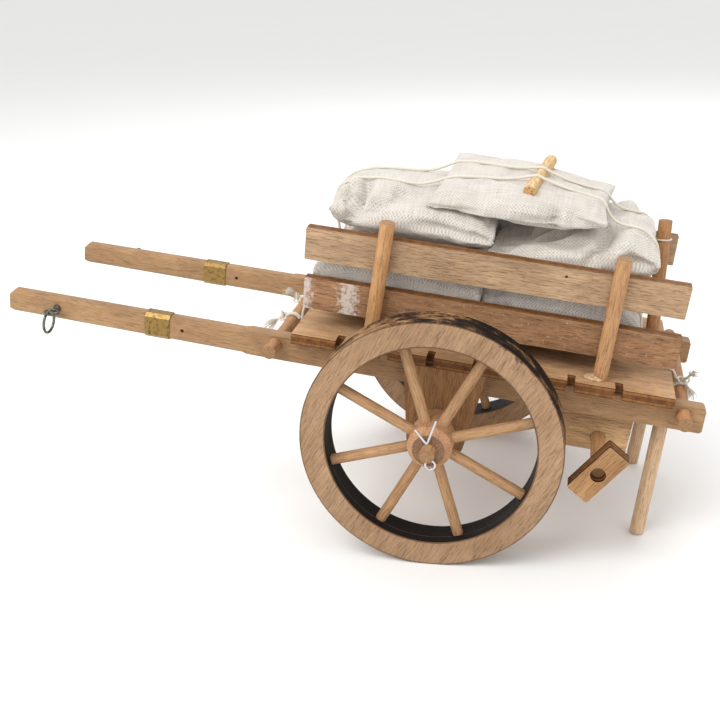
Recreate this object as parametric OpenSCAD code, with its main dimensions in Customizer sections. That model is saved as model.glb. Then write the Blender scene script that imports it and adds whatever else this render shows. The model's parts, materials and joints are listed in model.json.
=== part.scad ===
// Two-wheeled wooden hand cart in miniature: a pair of shafts, a plywood deck with slatted sides,
// spoked wheels, a cam brake rod, two prop legs, and a load of linen sacks lashed down.
// Everything is drawn level, with x along the cart from the axle towards the rear, y from the middle
// outwards and z up from the top of the shafts, and stand() then sets it down on its wheels and legs.

/* [Materials] */
// Plywood thickness, for deck, boards, panels and each wheel layer
ply = 3; // [2:0.1:3.6]
// Dowel diameter, for axle, stakes, legs, cross bars and brake rod
dowel_d = 4; // [3:0.1:4.8]

/* [Shafts] */
// Distance from the axle to the front ends of the shafts
shaft_front = 129.4; // [107:0.1:156]
// Distance from the axle to the rear ends of the shafts
shaft_rear = 70; // [66:0.1:84]
// Distance between the shafts, inside to inside
shaft_gap = 46.8; // [39:0.1:56]
// Width of a shaft
shaft_w = 4.8; // [4:0.1:6]
// Height of a shaft
shaft_h = 7; // [6.2:0.1:8.4]
// Width of a shaft at its front end
grip_w = 4.3; // [3.6:0.1:4.8]
// Height of a shaft at its front end
grip_h = 6.5; // [5.6:0.1:7]
// Chamfer whittled along the grip
grip_chamfer = 1; // [0.5:0.1:1.4]
// Distance from the axle at which that chamfer starts
grip_start = 56; // [54:0.1:66]

/* [Shaft fittings] */
// Distance from the axle to the rear edge of the brass band
band_x = 80; // [78:0.1:96]
// Width of the brass band along the shaft
band_w = 7.4; // [5:0.1:9]
// Thickness of the brass sheet
band_t = 0.3; // [0.2:0.05:0.4]
// Distance from the axle to the peg hole
peg_x = 76.2; // [72:0.1:77]
// Diameter of the peg hole
peg_d = 1.1; // [0.8:0.1:1.6]
// Distance from the axle to the screw eye
eye_x = 114.5; // [95:0.1:120]
// Wire diameter of the screw eye
eye_wire = 0.9; // [0.7:0.05:1.1]
// Inside diameter of the screw eye's loop
eye_bore = 2.6; // [2.2:0.1:3.2]
// Outside diameter of the hanging ring
ring_d = 7.2; // [6:0.1:8.6]
// Wire diameter of the hanging ring
ring_wire = 0.8; // [0.6:0.05:1]

/* [Deck] */
// Distance from the axle to the front edge of the deck
deck_front = 43.4; // [36:0.1:44]
// Distance from the axle to the rear edge of the deck
deck_rear = 61.1; // [58:0.1:61.4]
// Width of the deck
deck_w = 63.2; // [62:0.1:76]
// Spacing of the notches along each edge of the deck
notch_pitch = 12.7; // [11:0.1:14]
// Width of a notch
notch_w = 2.1; // [1.6:0.1:2.6]
// Depth of a notch
notch_l = 4.6; // [3.8:0.1:4.7]

/* [Sides] */
// Outward lean of the sides, in degrees
side_lean = 5; // [3:0.5:7]
// Distance between the lower edges of the sides, inside to inside
bed_w = 42.4; // [36:0.1:42.8]
// Height of a side board
board_h = 9.3; // [8:0.1:11]
// Height of the lower board above the deck
lower_gap = 5.8; // [4.8:0.1:7]
// Height of the gap between the two boards
board_gap = 5.3; // [4.4:0.1:6.4]
// Overhang of the boards behind the front edge of the deck
board_inset = 1; // [0:0.1:2]
// Length of a stake above the deck
stake_l = 35.4; // [30:0.1:42]
// Distance in front of the axle of the front stakes
front_stake_x = 22.3; // [18:0.1:24.6]
// Distance behind the axle of the rear stakes
rear_stake_x = 41.2; // [39:0.1:43]
// Forward rake of the front stakes, in degrees
front_stake_rake = 3; // [0:0.5:4]
// Depth of the blind holes that the stakes stand in
stake_socket = 2; // [1:0.1:2.4]

/* [Wheels] */
// Radius of a wheel
wheel_r = 35.3; // [29.4:0.1:42.4]
// Depth of the rim, outside to inside
rim_h = 7; // [5.8:0.1:8.4]
// Distance from the middle of the cart to the outer face of a wheel
wheel_out = 47.6; // [46:0.1:54]
// Spokes in a wheel
spoke_n = 8; // [6:1:10]
// Diameter of a spoke
spoke_d = 3; // [2.5:0.1:3.6]
// Diameter of the hub
hub_d = 12; // [10:0.1:14.4]
// Height of the shaft tops above the middle of the axle
axle_drop = 16.2; // [13:0.1:18]
// Length of the axle from the middle of the cart
axle_half = 52.3; // [51.6:0.1:60]
// Radial clearance of a turning part
run = 0.05; // [0.02:0.01:0.09]
// Wire diameter of the split pins
pin_wire = 0.8; // [0.6:0.05:0.9]

/* [Panels] */
// Width of an axle panel at the top
axle_panel_top = 23; // [20:0.1:25]
// Width of an axle panel at the bottom
axle_panel_foot = 16; // [13:0.1:18]
// Depth of an axle panel below the deck
axle_panel_h = 24.8; // [22:0.1:28]
// Distance from the axle to the rear edge of a rear panel
rear_panel_x = 53; // [50:0.1:55]
// Width of a rear panel
rear_panel_w = 25; // [21:0.1:28]
// Depth of a rear panel below the deck
rear_panel_h = 19.6; // [18.6:0.1:24]

/* [Brake] */
// Gap left between a turning brake block and the tyre
brake_gap = 0.3; // [0.25:0.05:1]
// Depth of the brake rod below the deck
brake_z = 15.6; // [14:0.1:16.2]
// Length of the brake rod from the middle of the cart
brake_half = 43.8; // [42.6:0.1:45]
// Length of a brake block
block_l = 16.1; // [13.4:0.1:17]
// Width of a brake block
block_w = 6.9; // [5.8:0.1:8]
// Thickness of a brake block
block_t = 4.5; // [3.8:0.1:5.4]
// Slope of the brake blocks at rest, in degrees
block_turn = 57; // [0:1:90]

/* [Legs and bars] */
// Distance behind the axle of the prop legs
leg_x = 60.2; // [58:0.1:60.4]
// Length of a leg below the deck
leg_l = 43; // [36:0.1:50]
// Outward lean of the legs, in degrees
leg_lean = 2; // [0:0.5:3]
// Distance in front of the axle of the front cross bar
front_bar_x = 48.6; // [46.4:0.1:50]
// Distance behind the axle of the rear cross bar
rear_bar_x = 64.4; // [64.2:0.1:66]
// Depth of the cross bars below the shaft tops
bar_z = 2.5; // [2.5:0.1:3.4]
// Distance that the cross bars stand out beyond the shafts
bar_out = 6.6; // [4:0.1:9]

/* [Load] */
// Height of the lower layer of sacks
sack_lower_h = 15.5; // [13:0.1:17]
// Thickness of the lashing cord
cord_d = 1; // [0.7:0.05:1.2]
// Diameter of the cane stick
cane_d = 3.6; // [3:0.1:4.4]
// Length of the cane stick
cane_l = 30.5; // [25:0.1:36]

/* [Hidden] */

LEFT = -1;
RIGHT = 1;
FINE = 48;
dowel_r = dowel_d / 2;
shaft_in = shaft_gap / 2;
shaft_out = shaft_in + shaft_w;
grip_out = shaft_out - 0.6;
spread_x = front_bar_x;
eye_seat = grip_out + (shaft_out - grip_out) * (shaft_front - eye_x) / (shaft_front - spread_x);
eye_screw_l = 2.8;
eye_collar = 1.8;
eye_mean = (eye_bore + eye_wire) / 2;
eye_y = eye_seat + eye_collar + eye_mean;
ring_mean = (ring_d - ring_wire) / 2;
ring_drop = ring_mean - (ring_wire + eye_wire) / 2 - run;
board_front = deck_front - board_inset;
board_l = deck_front + deck_rear - 2 * board_inset;
board_foot = bed_w / 2;
upper_gap = lower_gap + board_h + board_gap;
stake_y = board_foot + (ply + dowel_r) / cos(side_lean);
rim_in = wheel_r - rim_h;
spoke_y = wheel_out - 1.5 * ply;
panel_out = shaft_out + ply;
hub_in = panel_out + 0.25;
hub_out = wheel_out + 1.2;
pin_y = hub_out + pin_wire / 2 + 0.25;
block_round = 0.6;
block_reach = norm([block_l / 2 - block_round, block_w / 2 - block_round]) + block_round;
block_in = brake_half - 2;
brake_reach = wheel_r + brake_gap + block_reach;
brake_drop = brake_z - axle_drop;
brake_x = sqrt(pow(brake_reach, 2) - pow(brake_drop, 2));
leg_y = shaft_in - dowel_r - 0.05;
load_z = ply + 0.3;
sack_gap = 0.3;

// The cart stands on its wheels and on the rear edge of its legs' feet.
leg_foot_x = leg_x + dowel_r;
leg_foot_z = leg_l - axle_drop;
pitch = asin(wheel_r / norm([leg_foot_x, leg_foot_z])) - atan2(leg_foot_z, leg_foot_x);
front_bevel = 0.8;
rear_bevel = 0.6;
front_end = -shaft_front * cos(pitch) + (axle_drop - grip_h + front_bevel) * sin(pitch);
rear_end = shaft_rear * cos(pitch) + (axle_drop - rear_bevel) * sin(pitch);
centre_x = (front_end + rear_end) / 2;

module stand() {
    translate([-centre_x, 0, wheel_r]) rotate([0, pitch, 0]) translate([0, 0, axle_drop]) children();
}

module on_side(side) {
    mirror([0, side == LEFT ? 1 : 0, 0]) children();
}

// A cutter for one long edge of the grip: the edge is the x axis, and z is square to the chamfer.
module whittle() {
    run_out = 2;
    cut_l = shaft_front - grip_start + 2;
    floor_z = -grip_chamfer / sqrt(2);
    translate([0, shaft_h / 2, 0]) rotate([90, 0, 0]) linear_extrude(shaft_h)
        polygon([[-cut_l, floor_z], [-run_out, floor_z], [0, 0.4], [0, 3], [-cut_l, 3]]);
}

// Places its child along the two upper and the two lower long edges of the grip.
module grip_edges() {
    taper_l = shaft_front - spread_x;
    yaw_out = atan2(shaft_out - grip_out, taper_l);
    yaw_in = atan2(shaft_in - grip_out + grip_w, taper_l);
    rise = atan2(shaft_h - grip_h, taper_l);
    for (edge = [[shaft_out, yaw_out, -1], [shaft_in, yaw_in, 1]]) {
        translate([-grip_start, edge[0], 0]) rotate([0, 0, edge[1]])
            rotate([45 * edge[2], 0, 0]) children();
        translate([-grip_start, edge[0], -shaft_h]) rotate([0, rise, edge[1]])
            rotate([135 * edge[2], 0, 0]) children();
    }
}

// A round bar or hole along y, from y = from to y = to, about a point in the xz plane.
module cross_rod(x, z, r, from, to) {
    translate([x, to, z]) rotate([90, 0, 0]) cylinder(r = r, h = to - from, $fn = FINE);
}

// The outline (x, z) of its child, made from y = from to y = to.
module upright(from, to) {
    translate([0, to, 0]) rotate([90, 0, 0]) linear_extrude(to - from) children();
}

module shaft() {
    over = 2;
    plan = [
        [-shaft_front, grip_out], [-spread_x, shaft_out], [shaft_rear, shaft_out],
        [shaft_rear, shaft_in], [-spread_x, shaft_in], [-shaft_front, grip_out - grip_w]
    ];
    elevation = [
        [1.2 - shaft_front, 0], [shaft_rear - rear_bevel, 0], [shaft_rear, -rear_bevel],
        [shaft_rear, rear_bevel - shaft_h], [shaft_rear - rear_bevel, -shaft_h],
        [-spread_x, -shaft_h], [front_bevel - shaft_front, -grip_h],
        [-shaft_front, front_bevel - grip_h], [-shaft_front, -1.4]
    ];
    color("burlywood") difference() {
        intersection() {
            translate([0, 0, -shaft_h - over]) linear_extrude(shaft_h + 2 * over) polygon(plan);
            upright(shaft_in - over, shaft_out + over) polygon(elevation);
        }
        grip_edges() whittle();
        for (x = [-front_bar_x, rear_bar_x])
            cross_rod(x, -bar_z, dowel_r, shaft_in - over, shaft_out + over);
        cross_rod(-peg_x, -shaft_h / 2, peg_d / 2, shaft_in - over, shaft_out + over);
        cross_rod(-eye_x, -grip_h / 2, eye_wire / 2, eye_seat - eye_screw_l, shaft_out + over);
    }
}

// The section of the grip (y, z) at the band, grown by the given amount.
module grip_section(grow) {
    taper = (band_x - spread_x) / (shaft_front - spread_x);
    out = shaft_out - (shaft_out - grip_out) * taper + grow;
    in = shaft_in - (shaft_in - grip_out + grip_w) * taper - grow;
    low = -shaft_h + (shaft_h - grip_h) * taper - grow;
    c = grip_chamfer + grow * 0.41 - 0.05;
    polygon([
        [in + c, grow], [out - c, grow], [out, grow - c], [out, low + c],
        [out - c, low], [in + c, low], [in, low + c], [in, grow - c]
    ]);
}

module band() {
    color("goldenrod") translate([-band_x - band_w, 0, 0]) rotate([90, 0, 90]) linear_extrude(band_w)
        difference() {
            grip_section(band_t);
            grip_section(0.01);
        }
}

module screw_eye() {
    z = -grip_h / 2;
    color("dimgray") {
        cross_rod(-eye_x, z, eye_wire / 2, eye_seat - eye_screw_l, eye_seat + 0.4);
        translate([-eye_x, eye_seat, z]) rotate([-90, 0, 0])
            cylinder(r1 = 1.2, r2 = eye_wire / 2 + 0.1, h = eye_collar, $fn = FINE);
        translate([-eye_x, eye_y, z]) rotate_extrude($fn = FINE)
            translate([eye_mean, 0]) circle(d = eye_wire, $fn = 24);
    }
}

// The ring hangs in the eye, in a plane across the cart.
module ring() {
    color("dimgray") translate([-eye_x, eye_y + eye_mean, -grip_h / 2 - ring_drop])
        rotate([0, 90, 0]) rotate_extrude($fn = FINE)
            translate([ring_mean, 0]) circle(d = ring_wire, $fn = 24);
}

module cross_bar(x) {
    end = shaft_out + bar_out;
    color("burlywood") cross_rod(x, -bar_z, dowel_r, -end, end);
}

module deck() {
    first = deck_rear - 14.7;
    stand() color("burlywood") difference() {
        translate([-deck_front, -deck_w / 2, 0]) cube([deck_front + deck_rear, deck_w, ply]);
        for (i = [0:6], side = [LEFT, RIGHT])
            on_side(side) translate([first - i * notch_pitch - notch_w / 2, deck_w / 2 - notch_l, -1])
                cube([notch_w, notch_l + 1, ply + 2]);
        for (side = [LEFT, RIGHT]) on_side(side) {
            front_stake();
            rear_stake();
        }
        lashing_stake_body(stake_socket);
    }
}

// Puts its child in the plane of the right side: y = 0 is the boards' inner face, z is up the side.
module side_plane() {
    translate([0, board_foot, ply]) rotate([-side_lean, 0, 0]) children();
}

module board(x, l, gap, holes) {
    round_r = 0.5;
    color("burlywood") side_plane() difference() {
        translate([x, 0, gap]) upright(0, ply) {
            translate([round_r, 0]) square([l - 2 * round_r, board_h]);
            translate([0, round_r]) square([l, board_h - 2 * round_r]);
            for (u = [round_r, l - round_r], w = [round_r, board_h - round_r])
                translate([u, w]) circle(r = round_r, $fn = 24);
        }
        for (hole = holes) cross_rod(hole[0], gap + hole[1], 0.35, ply - 1, ply + 1);
    }
}

module lower_board(holes) {
    board(-board_front, board_l, lower_gap, holes);
}

module upper_board(holes) {
    board(-board_front - 0.4, board_l - 0.2, upper_gap, holes);
}

// A stake on the outside of the boards, let into the deck.
module stake(x, rake) {
    color("burlywood") difference() {
        side_plane() translate([x, ply + dowel_r, 0]) rotate([0, rake, 0])
            translate([0, 0, -4]) cylinder(r = dowel_r, h = stake_l + 4, $fn = FINE);
        translate([x - 6, 0, ply - stake_socket - 8]) cube([12, 60, 8]);
    }
}

module front_stake() {
    stake(-front_stake_x, front_stake_rake);
}

module rear_stake() {
    stake(rear_stake_x, 0);
}

lash_x = 57.2;
lash_y = -dowel_r - cord_d - 0.2;
lash_rake = 4.7;
lash_l = 34.3;
slat_w = 3;
slat_t = 1.4;
slat_x = lash_x - dowel_r - cord_d - slat_w - 0.3;

// A stake inside the right-hand boards, which the lashing is tied to.
module lashing_stake_body(socket) {
    difference() {
        side_plane() translate([lash_x, lash_y, 0]) rotate([0, -lash_rake, 0])
            translate([0, 0, -4]) cylinder(r = dowel_r, h = lash_l + 4, $fn = FINE);
        translate([lash_x - 6, 0, ply - socket - 8]) cube([12, 60, 8]);
    }
}

module lashing_stake() {
    stand() color("peru") lashing_stake_body(stake_socket);
}

module lashing_slat() {
    stand() color("saddlebrown") difference() {
        side_plane() translate([slat_x, -slat_t, 0]) rotate([0, -lash_rake, 0])
            translate([0, 0, -2]) cube([slat_w, slat_t, lash_l - 1]);
        translate([slat_x - 6, 0, ply - 8]) cube([14, 60, 8]);
    }
}

function arc(x, z, r, from, to, n = 6) =
    [for (i = [0:n]) [x + r * cos(from + (to - from) * i / n), z + r * sin(from + (to - from) * i / n)]];

module axle_panel() {
    foot = axle_panel_foot / 2;
    foot_r = 2.4;
    color("burlywood") difference() {
        upright(shaft_out, panel_out) polygon(concat(
            [[-axle_panel_top / 2, 0]],
            arc(foot_r - foot, foot_r - axle_panel_h, foot_r, 188, 270),
            arc(foot - foot_r, foot_r - axle_panel_h, foot_r, 270, 352),
            [[axle_panel_top / 2, 0]]
        ));
        cross_rod(0, -axle_drop, dowel_r, shaft_out - 1, panel_out + 1);
    }
}

module rear_panel() {
    color("burlywood") difference() {
        upright(shaft_in - ply, shaft_in) polygon([
            [rear_panel_x - rear_panel_w, 0], [rear_panel_x - rear_panel_w, -rear_panel_h],
            [rear_panel_x - 0.7, -rear_panel_h], [rear_panel_x, 0]
        ]);
        cross_rod(brake_x, -brake_z, dowel_r + run, shaft_in - ply - 1, shaft_in + 1);
    }
}

module axle() {
    stand() color("burlywood") difference() {
        cross_rod(0, -axle_drop, dowel_r, -axle_half, axle_half);
        for (side = [LEFT, RIGHT]) on_side(side) pin_place() translate([0, 0, -4])
            cylinder(d = pin_wire, h = 8, $fn = FINE);
    }
}

pin_lean = -16;
pin_spread = 28;
pin_head_r = 1.3;

module pin_place() {
    translate([0, pin_y, -axle_drop]) rotate([0, pin_lean, 0]) children();
}

// Split pin: a round eye under the axle, a shank through it, and two legs bent apart above it.
module split_pin() {
    shank_low = -dowel_r - 0.6;
    shank_high = dowel_r + 0.3;
    color("silver") pin_place() {
        translate([0, 0, shank_low]) cylinder(d = pin_wire, h = shank_high - shank_low, $fn = FINE);
        translate([0, 0, shank_low - pin_head_r]) rotate([90, 0, 0]) rotate_extrude($fn = FINE)
            translate([pin_head_r, 0]) circle(d = pin_wire * 0.8, $fn = 24);
        for (leg = [[-pin_spread, 5.2], [pin_spread, 7.6]])
            translate([0, 0, shank_high - 0.3]) rotate([0, leg[0], 0])
                cylinder(d = pin_wire * 0.8, h = leg[1], $fn = FINE);
    }
}

// One plywood ring of the rim; layer 0 is its outer face.
module rim_layer(layer) {
    out = wheel_out - layer * ply;
    translate([0, out, -axle_drop]) rotate([90, 0, 0]) linear_extrude(ply) difference() {
        circle(r = wheel_r, $fn = 96);
        circle(r = rim_in, $fn = 96);
    }
}

// A spoke ends in a tenon as thick as the middle layer of the rim.
spoke_socket = 2.5;
shoulder = rim_in - 0.08;

// Runs its child at each spoke's angle, with x along the spoke.
module each_spoke() {
    for (i = [0:spoke_n - 1])
        translate([0, spoke_y, -axle_drop]) rotate([0, (i + 0.5) * 360 / spoke_n, 0]) children();
}

module wheel_face() {
    color("tan") rim_layer(0);
}

module wheel_core() {
    color("saddlebrown") difference() {
        rim_layer(1);
        each_spoke() translate([rim_in - 2, -ply, -ply / 2])
            cube([spoke_socket + 2, 2 * ply, ply]);
    }
}

module wheel_back() {
    color("tan") rim_layer(2);
}

module spokes() {
    seat = hub_d / 2 - 1.8;
    color("burlywood") each_spoke() rotate([0, 90, 0]) {
        translate([0, 0, seat]) cylinder(d = spoke_d, h = shoulder - seat, $fn = FINE);
        translate([0, 0, shoulder]) cylinder(d = ply, h = rim_in + spoke_socket - shoulder, $fn = FINE);
    }
}

module hub() {
    r = hub_d / 2;
    nose = r - 1.6;
    color("peru") difference() {
        translate([0, 0, -axle_drop]) rotate([-90, 0, 0]) rotate_extrude($fn = FINE) polygon([
            [dowel_r + run, hub_in], [nose, hub_in], [nose, spoke_y - 5.4], [r, spoke_y - 4.2],
            [r, hub_out - 2], [r - 1.6, hub_out], [dowel_r + run, hub_out]
        ]);
        each_spoke() translate([hub_d / 2 - 1.8, 0, 0]) rotate([0, 90, 0])
            cylinder(d = spoke_d, h = 4, $fn = FINE);
    }
}

module brake_rod() {
    stand() color("burlywood") cross_rod(brake_x, -brake_z, dowel_r, -brake_half, brake_half);
}

module brake_block() {
    color("sienna") translate([brake_x, 0, -brake_z]) rotate([0, -block_turn, 0]) difference() {
        upright(block_in, block_in + block_t) {
            square([block_l - 2 * block_round, block_w], center = true);
            square([block_l, block_w - 2 * block_round], center = true);
            for (u = [-1, 1], w = [-1, 1])
                translate([u * (block_l / 2 - block_round), w * (block_w / 2 - block_round)])
                    circle(r = block_round, $fn = 24);
        }
        cross_rod(0, 0, dowel_r, block_in - 1, block_in + block_t + 1);
    }
}

// A leg glued inside a shaft, its top cut flush with the underside of the deck and clear of the rear cross bar.
module leg() {
    color("tan") difference() {
        intersection() {
            translate([leg_x, leg_y, -shaft_h]) rotate([leg_lean, 0, 0])
                translate([0, 0, shaft_h - leg_l]) cylinder(r = dowel_r, h = leg_l + 2, $fn = FINE);
            translate([leg_x - 6, 0, -leg_l]) cube([12, 60, leg_l]);
        }
        cross_rod(rear_bar_x, -bar_z, dowel_r + 0.1, 0, 60);
    }
}

SACK_FN = 16;

// A plain bag: the hull of a ball at each of the given points.
module bag(r, points) {
    hull() for (p = points) translate(p) sphere(r = r, $fn = SACK_FN);
}

// The eight corners of a box, with the balls of the given radius inside it.
function corners(low, high, r) =
    [for (x = [low[0] + r, high[0] - r], y = [low[1] + r, high[1] - r], z = [low[2] + r, high[2] - r])
        [x, y, z]];

sack_y = board_foot - sack_gap;
sack_mid_z = load_z + sack_lower_h + sack_gap;
sack_top_z = sack_mid_z + 17.5;
sack_front_x = -board_front + 0.4;
sack_split_x = 4;
sack_rear_x = 49.6;
sack_ridge_x = 40.2;

module sack_lower_front() {
    stand() color("linen") bag(5, corners([sack_front_x, -sack_y, load_z],
        [sack_split_x, sack_y, load_z + sack_lower_h], 5));
}

module sack_lower_rear() {
    stand() color("linen") bag(5, corners([sack_split_x + sack_gap, -sack_y, load_z],
        [sack_rear_x, sack_y, load_z + sack_lower_h], 5));
}

module sack_front() {
    stand() color("linen") {
        bag(5, corners([sack_front_x, -sack_y, sack_mid_z],
            [sack_split_x, sack_y, sack_top_z], 5));
        bag(6, corners([sack_front_x + 1, 3 - sack_y, sack_mid_z + 4],
            [-12, sack_y - 2, sack_top_z + 7.6], 6));
    }
}

module sack_rear() {
    stand() color("linen") {
        bag(5, corners([sack_split_x + sack_gap, -sack_y, sack_mid_z],
            [sack_rear_x, sack_y, sack_top_z], 5));
        bag(4, corners([sack_ridge_x, -sack_y, sack_mid_z + 4],
            [sack_rear_x, -1, sack_top_z + 5.4], 4));
    }
}

module sack_far() {
    stand() color("linen") bag(2.4, corners([sack_ridge_x, 12.4, sack_top_z + sack_gap],
        [sack_rear_x - 2.6, sack_y, sack_top_z + 5.2], 2.4));
}

// The top bag is crowned along the middle and lower on the side nearest the left wheel.
module sack_top() {
    low = sack_top_z + sack_gap;
    stand() color("linen") bag(3, [
        [-8.4, -17, low + 3], [-8.4, 13, low + 3], [36.4, -17, low + 3], [36.4, 13, low + 3],
        [-8, -15, low + 4.6], [-8, 12, low + 6.6], [35, -14, low + 4.4], [35, 11, low + 5.8],
        [7, -15, sack_crown - 6.2], [7, 12, sack_crown - 3.4],
        [24, -15, sack_crown - 6.2], [24, 12, sack_crown - 3.4]
    ]);
}

sack_crown = sack_top_z + 13;
cane_z = sack_crown + 0.5;
cane_turn = 8;
cane_tilt = 6;

// A length of cane across the top bag, held under the lashing.
module cane_stick() {
    stand() color("peru") translate([16.4, -2.8, cane_z])
        rotate([90 + cane_tilt, 0, -cane_turn])
        cylinder(d = cane_d, h = cane_l, center = true, $fn = FINE);
}

// Routes of the two lashing cords, from the front cross bar over the load. Over the load, heights are
// above the lower layer of sacks.
NEAR_OVER = [
    [-42.8, -8, 6.9], [-42.8, -8, 14.9], [-42, -8, 21.4], [-38.5, -8, 25.2], [-34, -8, 25.9],
    [-24, -8, 25.9], [-14, -8, 26.1], [-9, -8, 27.1], [-2, -8.5, 28.3], [7, -9, 29.5],
    [12, -9, 31.2], [15.6, -9, 32.9], [19.5, -9, 31.4], [24, -9, 29.5], [30, -9.5, 28.1],
    [35, -10, 26.9], [38.5, -10, 25.7], [44, -11, 23.9], [47.5, -11, 23.3], [49.8, -11, 20.9],
    [50.4, -11, 15.9], [50.4, -11, 6.9]
];
FAR_OVER = [
    [-42.8, 7.5, 6.9], [-42.8, 7, 14.9], [-42, 6.5, 21.4], [-38.5, 6, 25.2], [-34, 5.5, 25.9],
    [-24, 4.5, 25.9], [-14, 3.5, 26.5], [-9, 3, 27.9], [-2, 2, 29], [7, 0, 30.1],
    [12.5, -1, 32.1], [16.7, -1.5, 33.7], [20.5, -1.5, 32.3], [24, -1.2, 30.5], [30, -0.5, 29.5],
    [35, 0.5, 28.1], [38.5, 2, 26.5], [42, 5.5, 23.1], [47.4, 11, 18.5], [50.6, 14.2, 15.7]
];

function over_load(route) = [for (p = route) p + [0, 0, sack_mid_z]];

bar_near = dowel_r + 0.6 - front_bar_x;
NEAR_ROUTE = concat(
    [[bar_near, -8, -bar_z], [bar_near + 0.4, -8, ply - 1], [-43.8, -8, ply + 5], [-43, -8, ply + 13]],
    over_load(NEAR_OVER),
    [
        [50.4, -11, ply + 14], [51.4, -11, ply + 6], [55, -11, ply + 1.8], [59, -11, ply + 0.7],
        [61.4, -11, ply + 0.2], [62.8, -11, dowel_r + 1.7 - bar_z],
        [rear_bar_x - 0.6, -11, dowel_r + 0.7 - bar_z]
    ]
);
FAR_ROUTE = concat(
    [[bar_near, 9, -bar_z], [bar_near + 0.4, 9, ply - 1], [-43.8, 8.6, ply + 5], [-43, 8, ply + 13]],
    over_load(FAR_OVER),
    [[53.4, 18, ply + 29.2]]
);

function unit(v) = v / norm(v);

// The frame across a route at point i: two unit vectors square to the cord.
function across(route, i) =
    let (
        run_along = unit(route[min(i + 1, len(route) - 1)] - route[max(i - 1, 0)]),
        u = unit(cross(run_along, [0, 1, 0]))
    ) [u, cross(run_along, u)];

// A cord of eight sides along a route.
module cord(route) {
    sides = 8;
    last = len(route) - 1;
    points = [
        for (i = [0:last]) let (f = across(route, i)) for (k = [0:sides - 1])
            route[i] + cord_d / 2 * (cos(k * 360 / sides) * f[0] + sin(k * 360 / sides) * f[1])
    ];
    walls = [
        for (i = [0:last - 1], k = [0:sides - 1]) let (n = (k + 1) % sides, a = i * sides)
            each [[a + k, a + n, a + sides + n], [a + k, a + sides + n, a + sides + k]]
    ];
    ends = [[for (k = [0:sides - 1]) sides - 1 - k], [for (k = [0:sides - 1]) last * sides + k]];
    polyhedron(points, concat(walls, ends));
}

module lashing_near() {
    color("ivory") stand() cord(NEAR_ROUTE);
}

module lashing_far() {
    color("ivory") stand() cord(FAR_ROUTE);
}

// A turn of cord round a bar along y.
module turn_round(y) {
    translate([0, y, 0]) rotate([90, 0, 0]) rotate_extrude($fn = FINE)
        translate([dowel_r + cord_d / 2 + 0.02, 0]) circle(d = cord_d, $fn = 24);
}

module tail(l) {
    cylinder(d = cord_d, h = l, $fn = FINE);
}

knot_r = dowel_r + cord_d / 2;

module front_knots() {
    color("ivory") stand() translate([-front_bar_x, 0, -bar_z]) {
        for (y = [NEAR_ROUTE[0][1], FAR_ROUTE[0][1]]) {
            turn_round(y);
            translate([-knot_r, y, 0.4]) rotate([0, -75, 0]) tail(5);
        }
    }
}

module rear_knots() {
    bar_y = NEAR_ROUTE[0][1] - 3;
    color("ivory") stand() {
        translate([rear_bar_x, 0, -bar_z]) {
            turn_round(bar_y);
            translate([0, bar_y, knot_r]) rotate([0, 60, 0]) tail(5);
        }
        side_plane() translate([lash_x, lash_y, 0]) rotate([0, -lash_rake, 0])
            translate([0, 0, 28.6]) rotate([90, 0, 0]) turn_round(0);
    }
}

module shaft_left() { stand() on_side(LEFT) shaft(); }
module shaft_right() { stand() on_side(RIGHT) shaft(); }
module band_left() { stand() on_side(LEFT) band(); }
module band_right() { stand() on_side(RIGHT) band(); }
module screw_eye_left() { stand() on_side(LEFT) screw_eye(); }
module screw_eye_right() { stand() on_side(RIGHT) screw_eye(); }
module ring_left() { stand() on_side(LEFT) ring(); }
module ring_right() { stand() on_side(RIGHT) ring(); }
module lower_board_left() { stand() on_side(LEFT) lower_board([[63.4, 5.4], [89.2, 6.6]]); }
module lower_board_right() { stand() on_side(RIGHT) lower_board([]); }
module upper_board_left() { stand() on_side(LEFT) upper_board([[27.6, 6.8], [78.9, 8]]); }
module upper_board_right() { stand() on_side(RIGHT) upper_board([]); }
module front_stake_left() { stand() on_side(LEFT) front_stake(); }
module front_stake_right() { stand() on_side(RIGHT) front_stake(); }
module rear_stake_left() { stand() on_side(LEFT) rear_stake(); }
module rear_stake_right() { stand() on_side(RIGHT) rear_stake(); }
module axle_panel_left() { stand() on_side(LEFT) axle_panel(); }
module axle_panel_right() { stand() on_side(RIGHT) axle_panel(); }
module rear_panel_left() { stand() on_side(LEFT) rear_panel(); }
module rear_panel_right() { stand() on_side(RIGHT) rear_panel(); }
module split_pin_left() { stand() on_side(LEFT) split_pin(); }
module split_pin_right() { stand() on_side(RIGHT) split_pin(); }
module wheel_face_left() { stand() on_side(LEFT) wheel_face(); }
module wheel_face_right() { stand() on_side(RIGHT) wheel_face(); }
module wheel_core_left() { stand() on_side(LEFT) wheel_core(); }
module wheel_core_right() { stand() on_side(RIGHT) wheel_core(); }
module wheel_back_left() { stand() on_side(LEFT) wheel_back(); }
module wheel_back_right() { stand() on_side(RIGHT) wheel_back(); }
module spokes_left() { stand() on_side(LEFT) spokes(); }
module spokes_right() { stand() on_side(RIGHT) spokes(); }
module hub_left() { stand() on_side(LEFT) hub(); }
module hub_right() { stand() on_side(RIGHT) hub(); }
module brake_block_left() { stand() on_side(LEFT) brake_block(); }
module brake_block_right() { stand() on_side(RIGHT) brake_block(); }
module leg_left() { stand() on_side(LEFT) leg(); }
module leg_right() { stand() on_side(RIGHT) leg(); }

module front_cross_bar() { stand() cross_bar(-front_bar_x); }
module rear_cross_bar() { stand() cross_bar(rear_bar_x); }

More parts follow.
